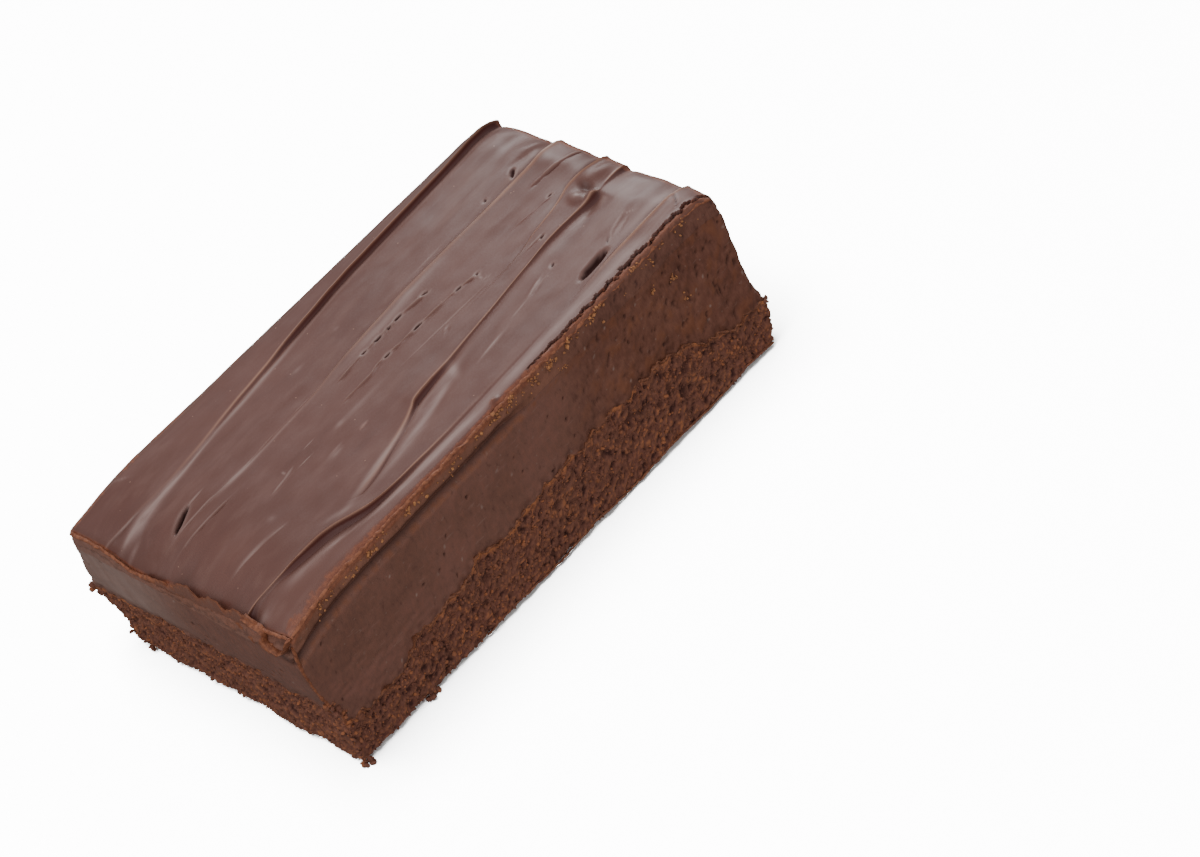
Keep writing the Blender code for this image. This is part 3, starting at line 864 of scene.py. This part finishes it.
def spot(x, y, mark, power):
    """How much each place is in a long spot: x, y, half length, half width, turn."""
    mark_x, mark_y, half_length, half_width, turn = mark
    turn = math.radians(turn)
    along = (x - mark_x) * math.cos(turn) + (y - mark_y) * math.sin(turn)
    aside = (y - mark_y) * math.cos(turn) - (x - mark_x) * math.sin(turn)
    away = (along / half_length) ** 2 + (aside / half_width) ** 2
    return np.exp(-(away ** power))


def mark_relief(x, y):
    """The height of the dents, pits, lumps and strokes, and how much each place takes the pit's painted
    shade or the pale mark's painted sheen.
    """
    relief, pit, pale = zeros(3, x)
    for *mark, height in DENTS:
        shape = spot(x, y, mark, 1)
        relief += height * shape
        pit += 0.5 * shape if height < -0.5 else 0
        pale += 0.5 * shape if 0 < height < 0.15 else 0
    for *mark, height in PITS:
        pit_x, pit_y, length, width, turn = mark
        shape = spot(x, y, mark, 3)
        inside = (pit_x - 0.25 * length, pit_y - 0.3 * width, 0.6 * length, 0.5 * width, turn)
        floor = spot(x, y, inside, 2) * (width > WIDE_PIT)
        around = spot(x, y, (pit_x, pit_y, length + 0.5, width + 0.45, turn), 2) - shape
        relief += height * shape
        pit += ease(0.15, 0.6, shape) * (1 - floor)
        pale += 0.9 * floor + 0.5 * around
    for start_x, start_y, end_x, end_y, width in STROKES:
        length = math.hypot(end_x - start_x, end_y - start_y) / 2
        turn = math.degrees(math.atan2(end_y - start_y, end_x - start_x))
        middle_x, middle_y = (start_x + end_x) / 2, (start_y + end_y) / 2
        dark, width = width < 0, abs(width)
        shape = spot(x, y, (middle_x, middle_y, length, width, turn), 1.5)
        beside = spot(x, y, (middle_x, middle_y - 1.6 * width, length, width, turn), 1.5)
        relief += -2 * width * shape if dark else 0.3 * width * (shape - beside)
        pit += 0.8 * shape * dark
        pale += 0.6 * shape * (not dark)
    # Painted sheen patches, added into the pale mark.
    for *mark, amount in SHEEN_PATCHES:
        pale += 0.8 * amount * spot(x, y, mark, 1)
    return relief, pit, pale


def front_crack(x, lane):
    """How much each place is in the ragged crack behind the front edge, and how far past it."""
    flat = flat_places(x)
    inset = CRACK_INSET + layers(flat, (0.3, 4, 71), (0.6, 1.5, 72), (0.55, 0.8, 75))
    width = CRACK_HALF_WIDTH + layers(flat, (0.10, 3, 73), (0.12, 0.8, 74))
    width += 0.04 * ease(12, 30, x)
    beside = lane + HALF_Y - np.maximum(inset, 0.2)
    shape = ease(1.6, 0.8, np.abs(beside) / np.maximum(width, 0.05))
    return shape * past_crack_start(x, 2), beside


def icing_rows():
    """Places across the icing: even ones, and closer ones at the front edge and each lane."""
    rows = set(stations(-HALF_Y, HALF_Y, ICING_ROW_STEP, (0.08,)))
    spacing, count = EDGE_ROWS
    rows |= {round(-HALF_Y + spacing * step, 4) for step in range(count)}
    for place in ALL_LANES:
        reach = 6 if place in FOLDS else 5
        rows |= {round(place + step * LANE_ROW_STEP, 4) for step in range(-reach, reach + 1)}
    rows = sorted(rows)
    return [rows[0]] + [b for a, b in zip(rows, rows[1:]) if b - a > LEAST_ROW_STEP]


def edge_fall(x, y, lane, to_edge):
    """How far the icing's top falls at its edges: a round lip, and the near end's dragged edge."""
    lip = LIP_FALL * (1 - 0.7 * ease(HALF_X - 3, HALF_X - 1, x))
    lip *= 1 - past_crack_start(x, 6) * (lane < 0)
    end_y = on_cut_faces(x, y, CROWN - NEAR_END_DROOP[0])[:, 1]
    behind_flap = ease(FLAP_ENDS[0] - 1, FLAP_ENDS[0] + 1, end_y)
    behind_flap *= ease(FLAP_ENDS[1] + 2.5, FLAP_ENDS[1] - 1.5, end_y)
    dragged = CROWN - NEAR_END_DROOP[0] - LIP_FALL - follow(NEAR_EDGE, end_y)
    dragged *= 1 - FLAP_HOLD * behind_flap
    return lip * fall(to_edge, LIP_WIDTH) + dragged * fall(x + HALF_X, NEAR_EDGE_LENGTH)


def icing_top(x, y, lane, to_edge):
    """The height of the icing's top before the knife's folds and marks."""
    flat = flat_places(x, y)
    wander = 0.9 * noise(flat, (9, 4.5, 9), 16) * ease(34, 42, x)
    wander *= ease(HALF_X, HALF_X - 2.5, x)
    top = CROWN - end_droop(x + wander) - edge_fall(x, y, lane, to_edge)
    top += layers(flat, (0.28, (40, 6, 9), 11), (0.09, (12, 2.6, 9), 12))
    top += 0.35 * noise(flat, (5, 4, 9), 15) * ease(36, 44, x)
    return top + layers(flat, (0.045, (4, 2.4, 9), 14), (0.012, (6, 0.7, 9), 13))


def icing_rim(places, x, lane, inward, depth, torn, cracked, wander):
    """How much each place is in the torn, rusty rim round the icing's top."""
    far_end = ease(HALF_X - 1.5, HALF_X - 0.5, x)
    width = 0.55 + 0.3 * wander + 0.25 * noise(places, 0.5, 26) + 0.3 * far_end + 0.25 * cracked
    nearest_near_end = (x + HALF_X < HALF_Y - np.abs(lane)) & (x < 0)
    width = np.where(nearest_near_end, NEAR_RIM, width)
    down_end = 0.5 * on_near_end(x) * ease(2.7, 1.9, depth - 0.8 * wander)
    down = np.maximum(ease(1.2, 0.5, depth + 0.7 * torn), down_end)
    return ease(width + 0.15, width - 0.15, inward) * down


def make_icing():
    """The spread icing, on a grid whose rows follow the folds."""
    columns = stations(-HALF_X, HALF_X, ICING_COLUMN_STEP, (0.08, 0.2))
    corners, faces = shell(columns, icing_rows(), stations(0, 1, 1 / ICING_LEVELS), 1, 8)
    x, lane, share = corners.T
    y = lane + lane_shift(x, lane)
    to_edge = np.minimum(HALF_X - np.abs(x), HALF_Y - np.abs(lane))
    relief, crest, groove, pale, pull = fold_relief(x, lane)
    fine, fine_crest, fine_groove = scratch_relief(x, lane)
    marks, pits, spots = mark_relief(x, y)
    crack, past_crack = front_crack(x, lane)
    cracked = past_crack_start(x) * ease(0.1, -0.1, past_crack) * (lane < -HALF_Y + 3)
    top = icing_top(x, y, lane, to_edge) + relief + fine + marks
    top -= CRACK_DEPTH * crack + CRACK_STEP * cracked
    foot = icing_foot(x) + SEAM_GAP
    z = foot + share * (top - foot)
    depth = (1 - share) * (top - foot)
    front, near_end, on_top = groove_share(x, lane), on_near_end(x), share > 0.999

    inset = LIP_INSET * fall(depth, 0.7)
    places = on_cut_faces(x, y + pull * ease(0, 1, to_edge), z, inset)
    places[:, 1] += GROOVE_DEPTH * front * ease(1.7, 0.2, z - foot)
    relief, rough, torn = cut_relief(places, x, y, z)
    push = layers(places, (0.12, 1.6, 21), (0.10, 0.7, 22))
    push = relief + push * (1 - torn) * ease(0, 0.6, z - foot)
    push *= ease(0.1, 0.8, depth)
    scoop = near_end * spot(places[:, 1], z, (*SCOOP, 0), 2)
    places = pushed_out(places, x, lane, push + side_wave(places) - SCOOP_DEPTH * scoop)

    wander = layers(places, (1, 2.2, 23), (0.6, 0.8, 25))
    rim = icing_rim(places, x, lane, np.where(on_top, to_edge, 0.2), depth, torn, cracked, wander)
    for rust in RUSTY:
        rim = np.maximum(rim, 0.9 * spot(x, y, rust, 2) * (depth < 1.5))
    # The recess mark is painted shade: in pits, the crack, the scoop, a band under the near end's rim,
    # the open groove and torn pores.
    recess_shade = pits + 1.3 * crack * on_top + 0.15 * scoop
    recess_shade += 0.4 * near_end * bell(depth - 0.8 * wander - 2.5, 0.25)
    recess_shade += 0.6 * front * ease(1.3, 0.3, z - foot)
    torn_pores = 0.7 * torn * ease(0.45, 0.9, -rough) * ~on_top
    # Painted sheen on the near end's cut side.
    sheen = near_end * (0.14 + 0.2 * ease(0, 18, y)) * ~on_top * (1 - 0.8 * rim)
    values = {
        "crest": np.clip(crest + 0.3 * fine_crest, 0, 1) * 0.9,
        "groove": np.clip(groove + 0.5 * fine_groove, 0, 1),
        "recess_shade": np.maximum(np.clip(recess_shade, 0, 1), torn_pores),
        "pale": np.clip(pale + spots + 0.5 * fine_crest, 0, 0.85) * on_top + sheen,
        "rim": np.clip(rim * (0.75 + 0.25 * wander), 0, 1) * (crack <= 0.3),
        "side": np.clip(np.where(on_top, cracked, ease(0, 0.3, depth)), 0, 1),
        "torn": torn,
    }
    new_piece("icing_spread", places, faces, "icing", icing_material(), ("icing",), values)


# ---- The fudge ----

def fudge_pores(places):
    """Small round holes that the cut opened, which get painted shade, and pale specks of sugar, here and
    there.
    """
    kinds = []
    for size, seed, outer, inner, rare in FUDGE_PORES:
        away, name = grains(places, size, seed)
        kinds.append(ease(outer, inner, away) * (name > rare))
    large, small, speck = kinds
    return np.maximum(large, small), speck


def make_fudge():
    """The smooth fudge layer with its cut sides."""
    x, y, share, faces = slab(FUDGE_STEP, FUDGE_LEVELS, 8, 8)
    foot = seam_height(x, y)
    top = icing_foot(x)
    z = foot + share * (top - foot)
    up, down = z - foot, top - z
    front = groove_share(x, y)
    places = on_cut_faces(x, y, z)
    places[:, 1] += GROOVE_DEPTH * front * ease(1.2, 0, down)
    pore, speck = fudge_pores(places)
    push, rough, torn = cut_relief(places, x, y, z)
    # Painted shade, carried by the pore mark: in torn pores and in the open groove under the icing.
    pore = np.maximum(pore, 0.7 * torn * ease(0.45, 0.9, -rough))
    pore = np.maximum(pore, 0.75 * front * ease(0.8, 0.1, down))
    push += 0.35 * ease(1.6, 0, up) * noise(places, 1.3, 34)
    push -= 0.3 * pore * ease(0, 0.6, down)
    places = pushed_out(places, x, y, push + side_wave(places))
    streaks = 0.5 + 0.5 * noise(places, (9, 1.2, 7), 35)
    # Painted sheen on the near end's cut.
    sheen = on_near_end(x) * ease(-2, 14, y)
    sheen *= ease(13, 16, z) * ease(28, 25, z)
    ragged = layers(places, (1, 1.1, 36), (0.5, 0.5, 37))
    mottled = 0.5 * torn * ease(0, 0.8, noise(places, 3, 38) + 0.6 * rough)
    border = ease(1.5, 0.7, down - 0.4 * ragged) * ease(0.3, 0.6, down)
    border *= 0.6 * (1 - 0.6 * torn) * ease(-0.5, 0.5, ragged) * (y < -HALF_Y + ON_SIDE)
    # A painted shadow line along the foot of the fudge, by the seam.
    seam_shade = ease(2.2, 0.3, up) * ease(-0.2, 0.5, ragged)
    values = {
        "pore": np.maximum(pore, 0.4 * seam_shade),
        "pale": np.maximum(sheen * (0.62 + 0.5 * streaks), speck),
        "orange": np.maximum(mottled, border),
        "torn": torn,
    }
    new_piece("fudge_slab", places, faces, "fudge_layer", fudge_material(), ("fudge_layer",), values)


# ---- The crumb base ----

def crumb_relief(places):
    """How far the torn crumb stands in or out, how much each place is pore, which gets painted shade,
    and how much pale, a painted highlight on raised ridges in patches.
    """
    fibre = places @ np.array([[1, 0, 0.35], [0, 1, 0], [-0.7, 0, 0.6]])
    warped = fibre + 0.5 * noise(places, 1.6, 41)[:, None]
    broad = noise(places, 4.2, 43)
    middle = 1 - 2.4 * np.abs(noise(warped, 1.5, 42))
    fine = 1 - 2.4 * np.abs(noise(warped, 0.75, 45))
    gap = ease(0.35, 0.65, noise(places, 1.7, 44))
    ridged = 0.5 * (middle + fine) + 0.15 * noise(places, 0.5, 46)
    push = 0.28 * broad + 0.42 * ridged - 0.4 * gap - 0.15
    # The pore share is painted shade in crevices and gaps; the pale share is a painted highlight on the
    # raised ridges.
    pore = np.clip(ease(0.12, -0.3, ridged) + 0.6 * gap, 0, 1)
    patches = 0.55 + 0.45 * ease(-0.3, 0.4, noise(places, 3, 47))
    return push, pore, ease(0.55, 0.95, ridged) * patches * (1 - pore)


def crumb_surface(x, y, share):
    """Points of the crumb base's plain box, moved to its torn cuts, with pore and pale."""
    z = share * (seam_height(x, y) - SEAM_GAP)
    edge_height, edge_inset = BOTTOM_EDGE
    places = on_cut_faces(x, y, z, edge_inset * fall(z, edge_height))
    push, pore, pale = crumb_relief(places)
    push *= 0.35 + 0.65 * ease(0, 0.12, 1 - share)
    return pushed_out(places, x, y, push - 0.1 + side_wave(places)), pore, pale


def make_base():
    """The crumb base: pores and fibres on its cut sides, and a flat baked underside."""
    x, y, share, faces = slab(BASE_STEP, BASE_LEVELS, 8, 4)
    places, pore, pale = crumb_surface(x, y, share)
    on_sides = on_side(x, y).any(axis=1)
    seam_edge = ease(0.09, 0.03, 1 - share) * ease(-0.4, 0.3, noise(places, 2, 50))
    pore *= on_sides * (1 - 0.8 * seam_edge)
    values = {"pore": pore, "pale": np.maximum(pale, seam_edge * on_sides)}
    material = crumb_material("crumb")
    new_piece("crumb_slab", places, faces, "crumb_base", material, ("crumb_base",), values)


def random_sides(count, rng):
    """Random places round the four cut sides of the plain box, and random shares of height."""
    run = rng.random(count) * 2 * (LENGTH + WIDTH)
    x = np.where(run < 2 * LENGTH, run % LENGTH - HALF_X, 0)
    y = np.where(run < LENGTH, -HALF_Y, HALF_Y)
    rest = run - 2 * LENGTH
    x = np.where(rest > 0, np.where(rest < WIDTH, -HALF_X, HALF_X), x)
    y = np.where(rest > 0, rest % WIDTH - HALF_Y, y)
    return x, y, rng.random(count)


def make_grains():
    """Crumbs that cling to the cut sides of the base."""
    rng = np.random.default_rng(5)
    x, y, share = random_sides(GRAIN_COUNT, rng)
    places = crumb_surface(x, y, 0.03 + 0.97 * share)[0]
    sizes = 0.12 + 0.22 * rng.random(GRAIN_COUNT) ** 2
    pale = ease(0.55, 1, rng.random(GRAIN_COUNT)) * 0.8
    material = crumb_material("crumb_grain")
    new_crumbs("crumb_grains", "crumb_base", material, places, sizes, pale, 0.5, 6)


# ---- Torn edges and loose crumbs ----

def along_front(x, z, inset=0):
    """A route along the front cut, at a height for each x."""
    return on_cut_faces(x, -HALF_Y, z) + (0, inset, 0)


def flap_top(y):
    """The height of the torn flap's top along the near end."""
    return np.interp(y, *np.array(FLAP_TOP).T)


def end_lip():
    """The icing's torn edge at the near end, with the thin flap that stands on it."""
    y = np.arange(-HALF_Y + 0.2, HALF_Y - 0.5, 0.16)
    route = on_cut_faces(-HALF_X, y, CROWN - NEAR_END_DROOP[0]) + (0.05, 0, 0)
    route[:, 2] = follow(NEAR_EDGE, route[:, 1])
    heights = np.maximum(flap_top(route[:, 1]) - route[:, 2], 0.2) + 0.25
    heights += 0.15 * noise(route, 0.9, 92)
    return ridge(route, (-0.08, 0, 1), (1, 0, 0), heights, 0.6, 93)


def front_lip():
    """The icing's torn edge along the front, lower and more ragged where the crack is."""
    x = np.arange(-HALF_X + 0.3, HALF_X - 0.5, 0.2)
    z = CROWN - end_droop(x) - LIP_FALL + 0.05 - (CRACK_STEP + 0.1) * past_crack_start(x)
    route = along_front(x, z, 0.2)
    heights = 0.4 + 0.25 * noise(route, 1.4, 94)
    heights += 0.3 * noise(route, 0.8, 99) * past_crack_start(route[:, 0])
    return ridge(route, (0, 0.3, 0.9), (0, 1, 0), heights, 0.5, 95)


def corner_lip():
    """The ragged upright edge where the near end meets the front."""
    z = np.arange(9.5, 28.5, 0.2)
    route = on_cut_faces(-HALF_X, -HALF_Y, z) + (0.1, 0.1, 0)
    heights = 0.7 + 0.25 * noise(route, 1.5, 96)
    return ridge(route, (-1, -1, 0), (1, -1, 0), heights, 0.5, 97)


def scrap(knots, height, thick, seed):
    """A scrap of torn icing along a smooth curve through places."""
    steps = np.linspace(0, len(knots) - 1, 70)
    numbered = [(i, *place) for i, place in enumerate(knots)]
    route = np.stack([follow(numbered, steps, axis) for axis in (1, 2, 3)], axis=1)
    up = unit((-1, 0, 0.1))
    out = np.cross(up, np.gradient(route, axis=0))
    heights = height + 0.25 * noise(route, 1.4, seed)
    return ridge(route, up, out, heights, thick, seed, 12, 0.12)


def make_torn_edges():
    """The thin ridges of torn icing along the near end, the front edge and the near corner."""
    parts = {
        "end_lip": end_lip(),
        "front_lip": front_lip(),
        "corner_lip": corner_lip(),
        "end_curl": scrap(CURL, 1.3, 0.42, 98),
        "end_flap": scrap(FLAP, 0.8, 2.4, 110),
    }
    material = torn_material("torn_icing", (0.150, 0.047, 0.023), (0.260, 0.092, 0.044))
    for name, (points, faces) in parts.items():
        y, z = points[:, 1], points[:, 2]
        face = ease(0.2, 0.8, flap_top(y) - z) * ease(0.2, 0.9, z - follow(NEAR_EDGE, y))
        new_piece(name, points, faces, "icing", material, (), {"face": face * (name == "end_lip")})


def make_seam_flakes():
    """Ragged crumb that stands proud along the front's seam, and the underside's skin."""
    material = torn_material("torn_crumb", (0.110, 0.037, 0.020), (0.250, 0.095, 0.046))
    x = np.arange(-HALF_X + 1, HALF_X - 1, 0.22)
    seam = along_front(x, seam_height(x, -HALF_Y))
    ragged = layers(seam, (1, 2.4, 101), (0.6, 0.9, 102))
    heights = np.clip(0.2 + 0.8 * ragged, 0, 1.3) + 0.25
    flakes = ridge(seam, (0, -1, 0.35), (0, 0.2, 1), heights, 0.55, 103)
    new_piece("seam_flakes", *flakes, "crumb_base", material)
    x = np.arange(-20, HALF_X - 0.5, 0.22)
    route = along_front(x, 0.9 + 0.25 * np.sin(x * 0.35))
    skin = ridge(route, (0, -1, 0.2), (0, 0, 1), 0.45 + 0.3 * noise(route, 3, 105), 0.4, 106)
    new_piece("underside_skin", *skin, "crumb_base", material)


# Where bright crumbs gathered under the front edge: x, height, how many.
BRIGHT_CRUMBS = [
    (-40, 30.1, 8), (-41, 29, 4), (-34, 30.2, 16), (-30.5, 30.2, 10), (-28, 30.6, 6), (-22, 30.6, 8),
    (-20, 30.9, 5), (-12, 30.6, 7), (-6.5, 30.8, 6), (-2.5, 31, 16), (0.5, 31.1, 26), (5.5, 30.7, 10),
    (9, 30.4, 26), (11, 28.4, 8), (14, 31.2, 8), (19, 30.8, 18), (21, 31.3, 6), (28.5, 31.6, 12),
    (32, 29.8, 8), (30, 25.9, 5), (34, 24.6, 12), (35, 20.2, 6), (40, 31, 4), (-38.5, 30.8, 3),
]


def make_bright_crumbs():
    """Small orange crumbs in clusters under the icing's front edge."""
    rng = np.random.default_rng(8)
    x, z = [], []
    for middle, height, count in BRIGHT_CRUMBS:
        x.append(middle + 0.55 * rng.normal(size=count))
        z.append(height + 0.38 * rng.normal(size=count))
    x = np.concatenate([*x, rng.uniform(-44, 44, STRAY_CRUMBS)])
    z = np.concatenate([*z, rng.normal(30.2, 0.6, STRAY_CRUMBS)])
    sizes = 0.10 + 0.2 * rng.random(len(x)) ** 2
    pale = 0.4 + 0.6 * rng.random(len(x))
    material = crumb_material("bright_crumb", (0.46, 0.20, 0.08))
    places = along_front(x, z, -0.05)
    new_crumbs("bright_crumbs", "icing", material, places, sizes, pale, 0.5, 9)


# Larger lumps of crumb on the edges: a place on the plain box and a radius.
CLUMPS = [
    (-32.5, -24, 0.6, 0.9), (-31.6, -24, 0.4, 0.6), (-46.9, -24, 0.5, 0.6), (-46, -24, 0.4, 0.7),
    (-47, -24, 14.6, 0.6), (-46.6, -24, 13.2, 0.7), (-46.3, -24, 11.6, 0.6), (-47, 24, 12.4, 0.9),
    (-47, 23, 11.6, 0.6), (-47, 23.5, 4.2, 0.7), (-47, 21, 0.6, 0.6), (47, -23.5, 7.6, 0.6),
]


def make_clumps():
    """Lumps of crumb at the corners and along the bottom edge."""
    rng = np.random.default_rng(12)
    x, y, z, radii = np.array(CLUMPS, float).T
    middles = on_cut_faces(x, y, z)
    offsets = rng.normal(size=(len(CLUMPS), CLUMP_LUMPS, 3)) * radii[:, None, None] * 0.45
    places = (middles[:, None, :] + offsets).reshape(-1, 3)
    sizes = np.repeat(radii, CLUMP_LUMPS) * (0.3 + 0.35 * rng.random(len(places)))
    pale = ease(0.4, 1, rng.random(len(places))) * 0.6
    material = crumb_material("crumb_clump")
    new_crumbs("crumb_clumps", "crumb_base", material, places, sizes, pale, 0.4, 13, 2)


# ---- Stage ----

# The floor's size is in metres, and so are the lights: place, aim, size and power of each.
FLOOR_SIZE = 6
LIGHTS = {
    "key": ((-0.35, 0.15, 0.9), (0, 0, 0), 0.5, 2),
    "back": ((0.42, 0.34, 0.34), (0.03, 0, 0.02), 0.3, 1.8),
    "front": ((-0.5, -0.6, 0.25), (0, 0, 0.01), 0.5, 1.6),
    "floor_wash": ((-0.2, 0.1, 1.6), (0, 0, 0), 1.2, 450),
}
SKY_STRENGTH = 0.85

# The camera's angles are in degrees, its distance and aim in millimetres from the frame's
# origin, and its clip distances in metres.
CAMERA_AZIMUTH = -31.62
CAMERA_ELEVATION = 41.61
CAMERA_ROLL = 24.33
CAMERA_DISTANCE = 451.7
CAMERA_AIM = (15.9, -20.5, 7.2)
CAMERA_LENS = 90
CAMERA_SENSOR = 36
CAMERA_CLIP = (0.01, 20)


def make_camera():
    """Looks down on the bar's front and near end, rolled so that the bar climbs to the right."""
    azimuth, elevation = math.radians(CAMERA_AZIMUTH), math.radians(CAMERA_ELEVATION)
    back = Vector((
        math.sin(azimuth) * math.cos(elevation),
        -math.cos(azimuth) * math.cos(elevation),
        math.sin(elevation),
    ))
    data = bpy.data.cameras.new("camera")
    data.lens = CAMERA_LENS
    data.sensor_width = CAMERA_SENSOR
    data.clip_start, data.clip_end = CAMERA_CLIP
    camera = bpy.data.objects.new("camera", data)
    upright = back.to_track_quat("Z", "Y").to_matrix().to_4x4()
    place = Matrix.Translation((Vector(CAMERA_AIM) + back * CAMERA_DISTANCE) * MM)
    camera.matrix_world = place @ upright @ Matrix.Rotation(math.radians(-CAMERA_ROLL), 4, "Z")
    bpy.context.scene.collection.objects.link(camera)
    bpy.context.scene.camera = camera


def make_floor():
    """A wide pale floor that the bar lies on."""
    bpy.ops.mesh.primitive_plane_add(size=FLOOR_SIZE, location=(0, 0, 0))
    floor = bpy.context.object
    floor.name = "floor"
    n = material_nodes("floor")
    colour = n.mix(n.noise(0.4, 2), (0.86, 0.86, 0.86), (0.88, 0.88, 0.88))
    floor.data.materials.append(n.finish(colour, 0.9, None, 0.1))
    floor.visible_diffuse = False
    floor.visible_glossy = False
    return floor


def area_light(name, place, aim, size, power, only):
    """A square soft light, turned to its aim; it can be set to light one object only."""
    data = bpy.data.lights.new(name, "AREA")
    data.shape = "SQUARE"
    data.size = size
    data.energy = power
    light = bpy.data.objects.new(name, data)
    light.location = place
    light.rotation_euler = (Vector(aim) - Vector(place)).to_track_quat("-Z", "Y").to_euler()
    bpy.context.scene.collection.objects.link(light)
    if only is not None:
        receivers = bpy.data.collections.new(name + "_lights")
        receivers.objects.link(only)
        light.light_linking.receiver_collection = receivers


def make_world():
    """Soft light from all round, weaker from below."""
    n = Nodes(bpy.data.worlds.new("world"))
    height = n.node("SeparateXYZ", {"Vector": n.places["Generated"]}, "Z")
    background = n.tree.nodes["Background"].inputs
    n.join(n.ramp(height, -0.3, 0.2, 0.22, 1, "LINEAR"), background["Color"])
    background["Strength"].default_value = SKY_STRENGTH
    bpy.context.scene.world = n.owner


def make_lights(floor):
    """Soft lights from above, behind and in front, and one that whitens the floor alone."""
    for name, settings in LIGHTS.items():
        area_light(name, *settings, floor if name == "floor_wash" else None)


make_camera()
make_base()
make_grains()
make_fudge()
make_icing()
make_torn_edges()
make_seam_flakes()
make_bright_crumbs()
make_clumps()
make_world()
make_lights(make_floor())
